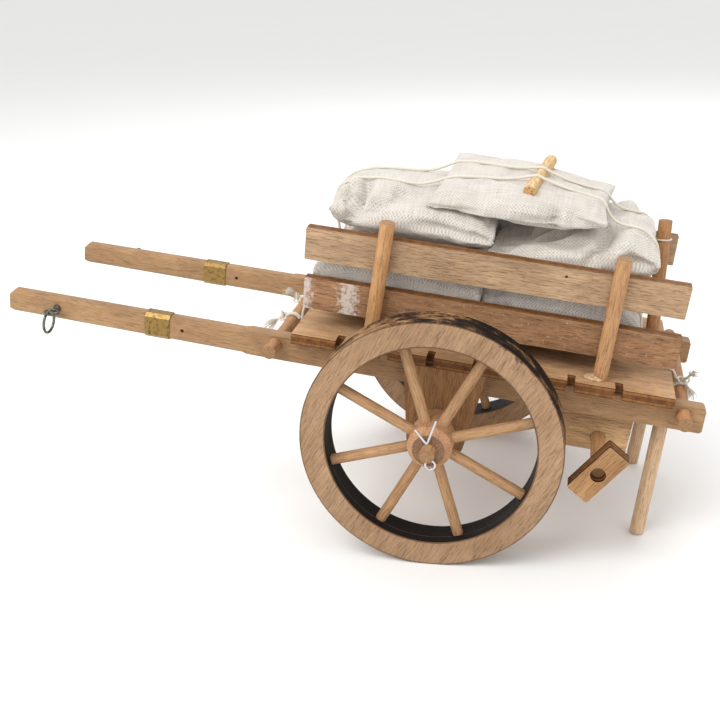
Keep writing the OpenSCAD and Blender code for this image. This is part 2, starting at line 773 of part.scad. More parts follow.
shaft_left();
shaft_right();
band_left();
band_right();
screw_eye_left();
screw_eye_right();
ring_left();
ring_right();
front_cross_bar();
rear_cross_bar();
deck();
lower_board_left();
lower_board_right();
upper_board_left();
upper_board_right();
front_stake_left();
front_stake_right();
rear_stake_left();
rear_stake_right();
lashing_stake();
lashing_slat();
axle_panel_left();
axle_panel_right();
rear_panel_left();
rear_panel_right();
axle();
split_pin_left();
split_pin_right();
wheel_face_left();
wheel_core_left();
wheel_back_left();
spokes_left();
hub_left();
wheel_face_right();
wheel_core_right();
wheel_back_right();
spokes_right();
hub_right();
brake_rod();
brake_block_left();
brake_block_right();
leg_left();
leg_right();
sack_lower_front();
sack_lower_rear();
sack_front();
sack_rear();
sack_far();
sack_top();
cane_stick();
lashing_near();
lashing_far();
front_knots();
rear_knots();
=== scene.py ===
"""Looks for a miniature wooden hand cart with a lashed load of linen sacks, built around its CAD frame."""

import json
import math
import random

import bmesh
import bpy
from bpy.props import FloatProperty, FloatVectorProperty, PointerProperty
from mathutils import Matrix, Vector, noise
from mathutils.bvhtree import BVHTree

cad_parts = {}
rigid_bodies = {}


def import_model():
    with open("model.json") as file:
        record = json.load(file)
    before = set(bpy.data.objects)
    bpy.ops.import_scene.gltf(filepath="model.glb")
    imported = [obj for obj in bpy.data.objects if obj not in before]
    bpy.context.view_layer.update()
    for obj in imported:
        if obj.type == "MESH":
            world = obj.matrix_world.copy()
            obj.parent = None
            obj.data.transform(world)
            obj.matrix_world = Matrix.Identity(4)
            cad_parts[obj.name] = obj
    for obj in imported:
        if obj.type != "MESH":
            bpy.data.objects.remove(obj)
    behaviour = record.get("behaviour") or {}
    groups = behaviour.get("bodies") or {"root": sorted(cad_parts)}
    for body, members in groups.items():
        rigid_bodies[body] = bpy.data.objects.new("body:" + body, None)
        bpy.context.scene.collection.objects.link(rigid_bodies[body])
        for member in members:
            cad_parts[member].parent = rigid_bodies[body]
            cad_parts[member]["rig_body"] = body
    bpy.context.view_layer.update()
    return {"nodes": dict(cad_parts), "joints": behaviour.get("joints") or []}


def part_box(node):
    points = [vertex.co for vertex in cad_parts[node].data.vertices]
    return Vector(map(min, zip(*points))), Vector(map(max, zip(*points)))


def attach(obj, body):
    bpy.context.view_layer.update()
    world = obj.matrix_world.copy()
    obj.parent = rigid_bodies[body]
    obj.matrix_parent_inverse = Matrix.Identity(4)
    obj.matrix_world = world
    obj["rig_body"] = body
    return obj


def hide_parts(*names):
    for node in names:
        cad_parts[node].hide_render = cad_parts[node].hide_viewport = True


bl_info = {
    "name": "Miniature hand cart",
    "version": (1, 0, 0),
    "blender": (4, 5, 0),
    "location": "3D View > Sidebar > Hand cart",
    "description": "Builds the wood, metal, sacks and lashing of a miniature hand cart",
    "category": "Add Mesh",
}

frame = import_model()

MM = 0.001
SIDES = ("left", "right")
JOINTS = {j["name"]: j for j in frame["joints"]}
NODES = frame["nodes"]

# The cart's own level frame: x along the cart from the axle, y outwards, z up from the deck's underside.
ALONG = Vector(JOINTS["right_ring_swing"]["axis"]).normalized()
OUT = Vector((0, 1, 0))
UP = ALONG.cross(OUT)
AXLE = Vector(JOINTS["left_wheel_turn"]["pos_m"])
AXLE.y = 0
DECK_FOOT = min((v.co - AXLE).dot(UP) for v in NODES["deck"].data.vertices)
CART = Matrix((ALONG, OUT, UP)).transposed().to_4x4()
CART.translation = AXLE + UP * DECK_FOOT
DOWEL_R = 2.0  # mm
RIM_IN, RIM_OUT = 28.3, 35.3  # radii of a wheel's rim, mm


def linear(hex_colour, *alpha):
    """An sRGB hex colour as linear red, green and blue, with an alpha where a socket wants one."""
    parts = [int(hex_colour[i : i + 2], 16) / 255 for i in (1, 3, 5)]
    return [c / 12.92 if c <= 0.04045 else ((c + 0.055) / 1.055) ** 2.4 for c in parts] + list(alpha)


# ---------------------------------------------------------------- what a user may change


class CartWood(bpy.types.PropertyGroup):
    edge_round: FloatProperty(
        name="Edge rounding", description="How far sanded edges are rounded, in millimetres",
        default=0.16, min=0.02, max=0.4,
    )
    shaft_colour: FloatVectorProperty(
        name="Shafts", description="Colour of the sanded shafts",
        subtype="COLOR", size=3, default=linear("#a07e5a"), min=0, max=1,
    )
    ply_colour: FloatVectorProperty(
        name="Plywood", description="Colour of the plywood faces",
        subtype="COLOR", size=3, default=linear("#b08c69"), min=0, max=1,
    )
    dowel_colour: FloatVectorProperty(
        name="Dowel", description="Colour of the round bars, stakes, legs and spokes",
        subtype="COLOR", size=3, default=linear("#b78c62"), min=0, max=1,
    )
    burnt_colour: FloatVectorProperty(
        name="Burnt edges", description="Colour of the edges that the laser cut",
        subtype="COLOR", size=3, default=linear("#8a5b2e"), min=0, max=1,
    )


class CartLoad(bpy.types.PropertyGroup):
    linen_colour: FloatVectorProperty(
        name="Linen", description="Colour of the sack cloth",
        subtype="COLOR", size=3, default=linear("#d1cbc3"), min=0, max=1,
    )
    thread_pitch: FloatProperty(
        name="Thread spacing", description="Distance between two threads of the cloth, in millimetres",
        default=0.45, min=0.2, max=1,
    )
    cord_colour: FloatVectorProperty(
        name="Cord", description="Colour of the cotton cord",
        subtype="COLOR", size=3, default=linear("#ded8c9"), min=0, max=1,
    )
    cord_width: FloatProperty(
        name="Cord thickness", description="Thickness of the lashing cord, in millimetres",
        default=0.75, min=0.6, max=1.2,
    )
    twist_length: FloatProperty(
        name="Twist length", description="Length of one turn of the cord's strands, in millimetres",
        default=2.6, min=1, max=6,
    )


class CartStage(bpy.types.PropertyGroup):
    floor_colour: FloatVectorProperty(
        name="Floor", description="Colour of the floor",
        subtype="COLOR", size=3, default=linear("#f4f4f3"), min=0, max=1,
    )
    light_power: FloatProperty(
        name="Key light", description="Power of the main soft light",
        default=3.5, min=0, max=50, unit="POWER",
    )


# ---------------------------------------------------------------- materials


def put(tree, kind, links=None, out=0, stops=None, **settings):
    """Adds one node with its settings, its inputs as values or links, and its colour stops; returns one output."""
    made = tree.nodes.new("ShaderNode" + kind)
    for key, value in settings.items():
        setattr(made, key, value)
    for key, value in (links or {}).items():
        if isinstance(value, bpy.types.NodeSocket):
            tree.links.new(value, made.inputs[key])
        else:
            made.inputs[key].default_value = value
    if stops:
        ramp = made.color_ramp
        while len(ramp.elements) < len(stops):
            ramp.elements.new(0.5)
        for element, (at, colour) in zip(ramp.elements, stops):
            element.position = at
            element.color = (*colour, 1)
    return made.outputs[out]


COVER = dict(out=2, data_type="RGBA")  # one colour over another
STAIN = dict(out=2, data_type="RGBA", blend_type="MULTIPLY")  # one colour darkened or warmed by another


def new_material(name, roughness, **constants):
    """A material with its shader's constant settings, whose names have _ for a space."""
    material = bpy.data.materials.new(name)
    material.use_nodes = True
    tree = material.node_tree
    shader = tree.nodes["Principled BSDF"]
    shader.inputs["Roughness"].default_value = roughness
    for key, value in constants.items():
        shader.inputs[key.replace("_", " ")].default_value = value
    return material, tree, shader


def shade(colour, factor):
    """The colour made darker or lighter."""
    return [min(1.0, c * factor) for c in colour]


def dress(tree, shader, tint, bump, rough=None):
    """Gives the shader its finished colour, bump and, where it varies, its roughness."""
    tree.links.new(tint, shader.inputs["Base Color"])
    tree.links.new(bump, shader.inputs["Normal"])
    if rough:
        tree.links.new(rough, shader.inputs["Roughness"])


def in_mm(tree):
    """The piece's own coordinates in millimetres, plain and shifted so that no two pieces have the same grain."""
    place = put(tree, "TexCoord", out="Object")
    mm = put(tree, "VectorMath", {0: place, "Scale": 1000.0}, operation="SCALE")
    shift = put(tree, "Attribute", out="Vector", attribute_name="tone")
    return mm, put(tree, "VectorMath", {0: mm, 1: shift}, operation="ADD")


def grained_wood(name, colour, fleck, roughness=0.6, contrast=1.0, fleck_share=0.55, burnt=None, wheel=None,
                 scuffs=None):
    """Wood with its fibres along local x. burnt is the colour of laser-cut edges, and wheel holds the inner and
    outer radius of a rim in millimetres, whose cut faces are charred more. scuffs lists white rubbed places as
    their local x in millimetres and their reach."""
    material, tree, shader = new_material(name, roughness, Specular_IOR_Level=0.15 if wheel else 0.3)
    mm, there = in_mm(tree)
    if wheel:
        # A rim's frame lies along the cart; its face veneers run 58 degrees up from that.
        there = put(tree, "VectorRotate", {"Vector": there, "Angle": math.radians(58)}, rotation_type="Z_AXIS")
    facing = put(tree, "TexCoord", out="Normal")
    face = put(tree, "SeparateXYZ", {0: facing}, out="Z")
    lengthways = put(tree, "SeparateXYZ", {0: facing}, out="X")

    # The grain wavers by about 2 mm over 40 mm of length.
    slow = put(tree, "VectorMath", {0: there, 1: (0.025, 0.11, 0.11)}, operation="MULTIPLY")
    waver = put(tree, "TexNoise", {"Vector": slow, "Scale": 1.0, "Detail": 1.0}, out="Color")
    bend = put(tree, "VectorMath", {0: waver, 1: (0.0, 3.6, 3.6)}, operation="MULTIPLY")
    bent = put(tree, "VectorMath", {0: there, 1: bend}, operation="ADD")

    # Growth bands 2 to 4 mm wide, hairline fibres 0.2 mm wide and dark pores up to 2 mm long.
    long_bands = put(tree, "VectorMath", {0: bent, 1: (0.04, 1.0, 1.0)}, operation="MULTIPLY")
    bands = put(tree, "TexNoise", {"Vector": long_bands, "Scale": 0.45, "Detail": 5.0, "Roughness": 0.6})
    long_fibres = put(tree, "VectorMath", {0: bent, 1: (0.07, 1.0, 1.0)}, operation="MULTIPLY")
    fibres = put(tree, "TexNoise", {"Vector": long_fibres, "Scale": 3.4, "Detail": 3.0, "Roughness": 0.8})
    long_pores = put(tree, "VectorMath", {0: bent, 1: (0.1, 1.0, 1.0)}, operation="MULTIPLY")
    pores = put(tree, "TexNoise", {"Vector": long_pores, "Scale": 2.6, "Detail": 2.0, "Roughness": 0.6})
    pore = put(tree, "MapRange", {"Value": pores, "From Min": 0.6, "From Max": 0.7})
    patches = put(tree, "TexNoise", {"Vector": there, "Scale": 0.09, "Detail": 2.0})

    spread = 0.28 * contrast
    tint = put(tree, "ValToRGB", {"Fac": bands}, stops=[
        (0.3, shade(colour, 1 - spread * 0.75)), (0.46, shade(colour, 1 - spread * 0.1)),
        (0.56, shade(colour, 1 + spread * 0.15)), (0.72, shade(colour, 1 + spread * 0.5)),
    ])
    fibre_tint = put(tree, "ValToRGB", {"Fac": fibres}, stops=[
        (0.36, (1 - spread * 1.7, 1 - spread * 1.9, 1 - spread * 2.1)), (0.48, (1.0, 1.0, 1.0)),
        (0.62, (1 + spread * 0.6,) * 3),
    ])
    tint = put(tree, "Mix", {"Factor": 0.9, 6: tint, 7: fibre_tint}, **STAIN)
    patch_tint = put(tree, "ValToRGB", {"Fac": patches}, stops=[(0.3, (0.84, 0.8, 0.78)), (0.7, (1.08, 1.09, 1.1))])
    tint = put(tree, "Mix", {"Factor": 0.85, 6: tint, 7: patch_tint}, **STAIN)
    stock = put(tree, "Attribute", out="Color", attribute_name="stock")
    tint = put(tree, "Mix", {"Factor": 1.0, 6: tint, 7: stock}, **STAIN)
    pore_share = put(tree, "Math", {0: pore, 1: fleck_share}, operation="MULTIPLY")
    tint = put(tree, "Mix", {"Factor": pore_share, 6: tint, 7: (*fleck, 1)}, **COVER)
    height = put(tree, "Math", {0: fibres, 1: pore_share}, operation="SUBTRACT")
    for at, reach in scuffs or ():
        away = put(tree, "Math", {0: put(tree, "SeparateXYZ", {0: mm}, out="X"), 1: at}, operation="SUBTRACT")
        away = put(tree, "Math", {0: away}, operation="ABSOLUTE")
        near = put(tree, "MapRange", {"Value": away, "From Min": reach, "From Max": 0.0, "To Max": 0.34})
        rubbed = put(tree, "TexNoise", {"Vector": there, "Scale": 0.9, "Detail": 5.0, "Roughness": 0.75})
        rubbed = put(tree, "Math", {0: rubbed, 1: near}, operation="ADD")
        rubbed = put(tree, "MapRange", {"Value": rubbed, "From Min": 0.62, "From Max": 0.8, "To Max": 0.62})
        tint = put(tree, "Mix", {"Factor": rubbed, 6: tint, 7: linear("#ddd7d1", 1)}, **COVER)

    # End grain: close dark dots where the fibres are cut across.
    end = put(tree, "Math", {0: lengthways}, operation="ABSOLUTE")
    end = put(tree, "MapRange", {"Value": end, "From Min": 0.75, "From Max": 0.95})
    dots = put(tree, "TexNoise", {"Vector": there, "Scale": 4.2, "Detail": 2.0, "Roughness": 0.7})
    end_tint = put(tree, "ValToRGB", {"Fac": dots}, stops=[
        (0.36, shade(colour, 0.34)), (0.52, shade(colour, 0.66)), (0.7, shade(colour, 0.95)),
    ])
    if burnt is None:
        tint = put(tree, "Mix", {"Factor": end, 6: tint, 7: end_tint}, **COVER)
    else:
        # Three layers of veneer, 1 mm each: the middle one shows its end grain on the long edges.
        depth = put(tree, "Math", {0: put(tree, "SeparateXYZ", {0: mm}, out="Z")}, operation="ABSOLUTE")
        char = put(tree, "TexNoise", {"Vector": there, "Scale": 0.5, "Detail": 4.0, "Roughness": 0.7})
        layers = put(tree, "ValToRGB", {"Fac": put(tree, "Math", {0: depth, 1: 0.55}, operation="MULTIPLY")}, stops=[
            (0.0, shade(burnt, 0.6)), (0.23, shade(burnt, 0.75)), (0.28, shade(burnt, 0.16)),
            (0.34, shade(burnt, 1.05)), (0.66, shade(burnt, 1.15)), (0.79, shade(burnt, 0.14)),
        ])
        streaks = put(tree, "ValToRGB", {"Fac": char}, stops=[(0.34, (0.5, 0.42, 0.38)), (0.6, (1.1, 1.1, 1.1))])
        layers = put(tree, "Mix", {"Factor": 0.9, 6: layers, 7: streaks}, **STAIN)
        side = put(tree, "Math", {0: face}, operation="ABSOLUTE")
        side = put(tree, "MapRange", {"Value": side, "From Min": 0.93, "From Max": 0.55})
        if wheel:
            inner, outer = wheel
            flat = put(tree, "VectorMath", {0: mm, 1: (1.0, 1.0, 0.0)}, operation="MULTIPLY")
            radius = put(tree, "VectorMath", {0: flat}, out="Value", operation="LENGTH")
            inwards = put(tree, "VectorMath", {0: facing, 1: flat}, out="Value", operation="DOT_PRODUCT")
            inwards = put(tree, "MapRange", {"Value": inwards, "From Min": 4.0, "From Max": -4.0})
            # The tyre is bare in places and scorched black in others, most of all at the top.
            smoke = put(tree, "TexNoise", {"Vector": there, "Scale": 0.11, "Detail": 6.0, "Roughness": 0.7})
            top = put(tree, "VectorMath", {0: flat, 1: (0.018, -0.0215, 0.0)}, out="Value", operation="DOT_PRODUCT")
            top = put(tree, "MapRange", {"Value": top, "From Min": 0.72, "From Max": 1.0, "To Max": 0.16})
            smoke = put(tree, "Math", {0: smoke, 1: top}, operation="ADD")
            drawn = put(tree, "VectorMath", {0: there, 1: (0.15, 0.15, 2.2)}, operation="MULTIPLY")
            lines = put(tree, "TexNoise", {"Vector": drawn, "Scale": 1.0, "Detail": 3.0, "Roughness": 0.7})
            scorched = put(tree, "Math", {0: lines, 1: 0.4, 2: smoke}, operation="MULTIPLY_ADD")
            tyre = put(tree, "ValToRGB", {"Fac": scorched}, stops=[
                (0.62, linear("#a1805c")), (0.7, linear("#785637")),
                (0.76, linear("#2e2017")), (0.84, linear("#0f0b09")),
            ])
            layers = put(tree, "Mix", {"Factor": inwards, 6: tyre, 7: linear("#161210", 1)}, **COVER)
            # Smoke stains creep in from the outer cut: a hairline nearly all round, and up to 3 mm in places.
            reach = put(tree, "MapRange", {"Value": smoke, "From Min": 0.6, "From Max": 0.84,
                                           "To Min": outer + 0.25, "To Max": outer - 2.2})
            stain = put(tree, "Math", {0: radius, 1: reach}, operation="SUBTRACT")
            ragged = put(tree, "Math", {0: char, 1: 1.6, 2: stain}, operation="MULTIPLY_ADD")
            stain = put(tree, "MapRange", {"Value": ragged, "From Min": 0.75, "From Max": 1.5, "To Max": 0.9})
            tint = put(tree, "Mix", {"Factor": stain, 6: tint, 7: linear("#27211d", 1)}, **COVER)
            within = put(tree, "Math", {0: radius, 1: inner + 0.45}, operation="LESS_THAN")
            beyond = put(tree, "Math", {0: radius, 1: outer - 0.35}, operation="GREATER_THAN")
            edges = put(tree, "Math", {0: within, 1: beyond}, operation="ADD")
            edges = put(tree, "Math", {0: edges, 1: 0.7}, operation="MULTIPLY")
            tint = put(tree, "Mix", {"Factor": edges, 6: tint, 7: linear("#4a3120", 1)}, **COVER)
        tint = put(tree, "Mix", {"Factor": side, 6: tint, 7: layers}, **COVER)
        char_bump = put(tree, "Math", {0: char, 1: side}, operation="MULTIPLY")
        height = put(tree, "Math", {0: height, 1: char_bump}, operation="ADD")

    rough = put(tree, "MapRange", {"Value": fibres, "From Min": 0.3, "From Max": 0.7,
                                   "To Min": roughness - 0.08, "To Max": roughness + 0.14})
    bump = put(tree, "Bump", {"Strength": 0.5, "Distance": 0.00012, "Height": height})
    dress(tree, shader, tint, bump, rough)
    return material


def worn_metal(name, colour, stain, roughness, stain_at, scratch=1.0):
    """Metal with blotches of tarnish and fine scratches along local x."""
    material, tree, shader = new_material(name, roughness, Metallic=1.0)
    _, there = in_mm(tree)
    # Blotches about 1 mm across, and scratches 0.15 mm apart and eight times as long.
    blotch = put(tree, "TexNoise", {"Vector": there, "Scale": 0.9, "Detail": 5.0, "Roughness": 0.7})
    stained = put(tree, "MapRange", {"Value": blotch, "From Min": stain_at, "From Max": stain_at + 0.16})
    tint = put(tree, "Mix", {"Factor": stained, 6: (*colour, 1), 7: (*stain, 1)}, **COVER)
    drawn = put(tree, "VectorMath", {0: there, 1: (0.12, 1.0, 1.0)}, operation="MULTIPLY")
    scratches = put(tree, "TexNoise", {"Vector": drawn, "Scale": 7.0, "Detail": 2.0})
    rough = put(tree, "MapRange", {"Value": blotch, "From Min": 0.35, "From Max": 0.7,
                                   "To Min": roughness - 0.08, "To Max": roughness + 0.2})
    dents = put(tree, "Math", {0: scratches, 1: blotch}, operation="ADD")
    bump = put(tree, "Bump", {"Strength": 0.35 * scratch, "Distance": 0.00008, "Height": dents})
    dress(tree, shader, tint, bump, rough)
    return material


def plain_weave(name, colour, pitch):
    """Undyed linen: threads go over and under each other, thick and thin by turns."""
    material, tree, shader = new_material(name, 0.88, Sheen_Weight=0.25, Sheen_Roughness=0.5)
    cloth = put(tree, "Attribute", out="Vector", attribute_name="cloth")
    x = put(tree, "SeparateXYZ", {0: cloth}, out="X")
    y = put(tree, "SeparateXYZ", {0: cloth}, out="Y")
    wander = put(tree, "TexNoise", {"Vector": cloth, "Scale": 0.35, "Detail": 2.0}, out="Color")
    wander_x = put(tree, "SeparateXYZ", {0: wander}, out="X")
    wander_y = put(tree, "SeparateXYZ", {0: wander}, out="Y")
    waves = []
    for along, drift in ((x, wander_x), (y, wander_y)):
        turned = put(tree, "Math", {0: drift, 1: 0.6, 2: along}, operation="MULTIPLY_ADD")
        angle = put(tree, "Math", {0: turned, 1: math.pi / pitch}, operation="MULTIPLY")
        waves.append(put(tree, "Math", {0: angle}, operation="SINE"))
    over = put(tree, "Math", {0: waves[0], 1: waves[1]}, operation="MULTIPLY")
    # A thread stays thick or thin for about 8 mm, and differs from the next one 0.45 mm away.
    weft = put(tree, "VectorMath", {0: cloth, 1: (0.12, 2.2, 1.0)}, operation="MULTIPLY")
    warp = put(tree, "VectorMath", {0: cloth, 1: (2.2, 0.12, 1.0)}, operation="MULTIPLY")
    slubs = put(tree, "TexNoise", {"Vector": weft, "Scale": 1.0, "Detail": 2.0})
    slubs_across = put(tree, "TexNoise", {"Vector": warp, "Scale": 1.0, "Detail": 2.0})
    thread = put(tree, "Math", {0: slubs, 1: slubs_across}, operation="ADD")
    body = put(tree, "Math", {0: over, 1: 0.5, 2: thread}, operation="MULTIPLY_ADD")
    body_share = put(tree, "MapRange", {"Value": body, "From Min": 0.35, "From Max": 1.6})
    tint = put(tree, "ValToRGB", {"Fac": body_share}, stops=[
        (0.0, shade(colour, 0.5)), (0.35, shade(colour, 0.83)), (0.7, colour), (1.0, shade(colour, 1.08)),
    ])
    place = put(tree, "TexCoord", out="Object")
    blotch = put(tree, "TexNoise", {"Vector": place, "Scale": 70.0, "Detail": 3.0})
    worn = put(tree, "ValToRGB", {"Fac": blotch}, stops=[(0.35, (0.95, 0.93, 0.9)), (0.65, (1.02, 1.01, 1.0))])
    tint = put(tree, "Mix", {"Factor": 1.0, 6: tint, 7: worn}, **STAIN)
    bump = put(tree, "Bump", {"Strength": 0.55, "Distance": 0.0001, "Height": body})
    dress(tree, shader, tint, bump)
    return material


def spun_cotton(name, colour):
    """Soft twisted cotton: matt, with fine fibres that catch the light."""
    material, tree, shader = new_material(name, 0.9, Sheen_Weight=0.3, Sheen_Roughness=0.4)
    _, there = in_mm(tree)
    # Tufts of fibre 0.2 mm across; single fibres would be too fine to show.
    fibres = put(tree, "TexNoise", {"Vector": there, "Scale": 5.0, "Detail": 3.0, "Roughness": 0.7})
    tint = put(tree, "ValToRGB", {"Fac": fibres}, stops=[(0.3, shade(colour, 0.76)), (0.65, shade(colour, 1.05))])
    bump = put(tree, "Bump", {"Strength": 0.4, "Distance": 0.0001, "Height": fibres})
    dress(tree, shader, tint, bump)
    return material


def cut_cane(name):
    """Rattan cane: a smooth straw-coloured skin with fine lengthways lines, and open pores at its cut ends."""
    material, tree, shader = new_material(name, 0.5)
    mm, there = in_mm(tree)
    facing = put(tree, "TexCoord", out="Normal")
    end = put(tree, "Math", {0: put(tree, "SeparateXYZ", {0: facing}, out="X")}, operation="ABSOLUTE")
    end = put(tree, "MapRange", {"Value": end, "From Min": 0.55, "From Max": 0.85})
    # Lines 0.4 mm apart on the skin, dark spots under 1 mm, and open pores 0.7 mm apart at the ends.
    long_lines = put(tree, "VectorMath", {0: there, 1: (0.12, 1.0, 1.0)}, operation="MULTIPLY")
    lines = put(tree, "TexNoise", {"Vector": long_lines, "Scale": 2.4, "Detail": 4.0, "Roughness": 0.7})
    skin = put(tree, "ValToRGB", {"Fac": lines}, stops=[
        (0.32, linear("#8a6233")), (0.45, linear("#c39a5f")), (0.6, linear("#dcbd88")), (0.75, linear("#e6cfa5")),
    ])
    spots = put(tree, "TexNoise", {"Vector": there, "Scale": 1.5, "Detail": 2.0})
    spotted = put(tree, "MapRange", {"Value": spots, "From Min": 0.64, "From Max": 0.72, "To Max": 0.75})
    skin = put(tree, "Mix", {"Factor": spotted, 6: skin, 7: linear("#6a4520", 1)}, **COVER)
    flat = put(tree, "VectorMath", {0: mm, 1: (0.0, 1.0, 1.0)}, operation="MULTIPLY")
    cells = put(tree, "TexVoronoi", {"Vector": flat, "Scale": 1.45, "Randomness": 0.55}, out="Distance")
    pore = put(tree, "MapRange", {"Value": cells, "From Min": 0.34, "From Max": 0.24})
    pith = put(tree, "Mix", {"Factor": pore, 6: linear("#b98f58", 1), 7: linear("#2a1608", 1)}, **COVER)
    tint = put(tree, "Mix", {"Factor": end, 6: skin, 7: pith}, **COVER)
    bump = put(tree, "Bump", {"Strength": 0.4, "Distance": 0.0001, "Height": lines})
    dress(tree, shader, tint, bump)
    return material


def dried_glue(name):
    """A blob of dried wood glue: amber, smooth and a little cloudy."""
    material, tree, shader = new_material(name, 0.3)
    _, there = in_mm(tree)
    # Clouds 0.7 mm across.
    cloud = put(tree, "TexNoise", {"Vector": there, "Scale": 1.4, "Detail": 3.0})
    tint = put(tree, "ValToRGB", {"Fac": cloud}, stops=[(0.35, linear("#a07c58")), (0.65, linear("#cfb08c"))])
    bump = put(tree, "Bump", {"Strength": 0.2, "Distance": 0.0002, "Height": cloud})
    dress(tree, shader, tint, bump)
    return material


_made = {}  # each finish that has been made, by its key


def material(key):
    """The named finish, made once."""
    if key in _made:
        return _made[key]
    wood, load = bpy.context.scene.cart_wood, bpy.context.scene.cart_load
    fleck, burnt = linear("#6b4526"), list(wood.burnt_colour)
    if key == "shaft":
        # Basswood strip, sanded and oiled: quiet straight grain with short dark flecks.
        made = grained_wood("basswood_sanded", list(wood.shaft_colour), fleck, 0.58, 0.8, 0.5)
    elif key == "plywood":
        # Birch plywood cut by laser: a wavy rotary-cut face, and caramel to black scorched edges.
        made = grained_wood("birch_ply_laser_cut", list(wood.ply_colour), fleck, 0.62, 1.1, 0.6, burnt)
    elif key == "rim":
        # The same plywood with smoke stains round the tyre and a charred inner cut.
        made = grained_wood("birch_ply_charred", linear("#a48567"), fleck, 0.62, 0.9, 0.4, burnt, (RIM_IN, RIM_OUT))
    elif key == "scuffed":
        # The same plywood where its front end has been rubbed white.
        made = grained_wood("birch_ply_scuffed", list(wood.ply_colour), fleck, 0.62, 1.3, 0.6, burnt,
                            scuffs=((-51.0, 4.0), (-38.5, 5.0)))
    elif key == "dowel":
        # Birch dowel, turned and sanded: warm, fine straight lines and dotted ends.
        made = grained_wood("birch_dowel", list(wood.dowel_colour), fleck, 0.55, 0.9, 0.5)
    elif key == "hub":
        # Beech turned on a lathe: redder and denser than the dowel.
        made = grained_wood("beech_turned", linear("#a2795a"), fleck, 0.5, 0.9, 0.7)
    elif key == "slat":
        # A splint painted darker than the rest: painted shade, where the sacks shadow it.
        made = grained_wood("splint_painted_shade", linear("#7c5c3f"), linear("#2f1c0e"), 0.55, 0.9, 0.6)
    elif key == "stained":
        # A stained dowel, warm red-brown.
        made = grained_wood("dowel_stained", linear("#ab7d52"), fleck, 0.55, 0.9, 0.55)
    elif key == "brass":
        # Thin brass sheet, rolled and aged: bright where it is rubbed, brown in the hollows.
        made = worn_metal("brass_sheet_aged", linear("#937748"), linear("#5c4628"), 0.34, 0.52, 0.25)
    elif key == "iron":
        # Drawn iron wire, blackened: dark grey with a dull shine.
        made = worn_metal("iron_wire_blackened", linear("#77756f"), linear("#3a3733"), 0.42, 0.48)
    elif key == "steel":
        # Bright drawn steel wire.
        made = worn_metal("steel_wire_bright", linear("#d2d4d6"), linear("#8b8b8a"), 0.26, 0.6)
    elif key == "linen":
        # Undyed linen in a plain weave: off-white, matt, with threads thick and thin.
        made = plain_weave("linen_undyed", list(load.linen_colour), load.thread_pitch)
    elif key == "cotton":
        # Cotton cord, twisted from three soft strands.
        made = spun_cotton("cotton_cord", list(load.cord_colour))
    elif key == "cane":
        # Rattan cane, cut across: a straw-coloured skin and open pores.
        made = cut_cane("rattan_cane")
    elif key == "glue":
        # Wood glue, dried in a blob: amber and smooth.
        made = dried_glue("wood_glue_dried")
    else:
        raise ValueError(f"no finish named {key}")
    _made[key] = made
    return made


# ---------------------------------------------------------------- mesh helpers


def set_attribute(mesh, name, values):
    """Gives each point of the mesh a vector that its material reads."""
    attribute = mesh.attributes.new(name, "FLOAT_VECTOR", "POINT")
    attribute.data.foreach_set("vector", [c for v in values for c in v])


# No two sheets or dowels are of one colour: what each piece's wood is multiplied by.
STOCK = {
    "upper_board": (0.98, 1.08, 1.18), "lower_board": (0.72, 0.64, 0.58), "deck": (1.2, 1.2, 1.16),
    "brake_block": (0.85, 0.77, 0.62), "axle_panel": (0.74, 0.62, 0.46), "rear_panel": (1.08, 1.1, 1.0),
    "leg": (1.2, 1.5, 1.95), "wheel": (0.95, 0.95, 0.95), "hub": (1.45, 1.5, 1.45), "front_stake": (1.1, 1.08, 1.0),
    "spokes": (0.85, 0.88, 0.92),
    "front_cross": (0.95, 0.9, 0.85), "rear_cross": (0.9, 0.8, 0.75),
}


def stock_of(name):
    """What the wood of the named piece is multiplied by."""
    found = [tint for start, tint in STOCK.items() if name.startswith(start)]
    return found[0] if found else (1.0, 1.0, 1.0)


def new_object(name, points, faces):
    """A plain mesh object in the scene."""
    mesh = bpy.data.meshes.new(name)
    mesh.from_pydata(points, [], faces)
    made = bpy.data.objects.new(name, mesh)
    bpy.context.scene.collection.objects.link(made)
    return made


def new_piece(name, points, faces, finish, place):
    """A new object from points in the frame of place, with its finish and grain shift."""
    piece = new_object(name, points, faces)
    piece.matrix_world = place
    mesh = piece.data
    mesh.validate()
    mesh.shade_smooth()
    shift = random.Random(name)
    tone = [shift.uniform(-90, 90) for _ in range(3)]
    set_attribute(mesh, "tone", [tone] * len(mesh.vertices))
    set_attribute(mesh, "stock", [stock_of(name)] * len(mesh.vertices))
    mesh.materials.append(material(finish))
    return piece


def in_cart(name, points, faces, finish):
    """A new object from points in cart mm."""
    return new_piece(name, [p * MM for p in points], faces, finish, CART.copy())


def settle(piece, body, slot, *replaced):
    """Every piece rides on a body and stands for its CAD nodes; slot is not used."""
    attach(piece, body)
    if replaced:
        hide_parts(*replaced)


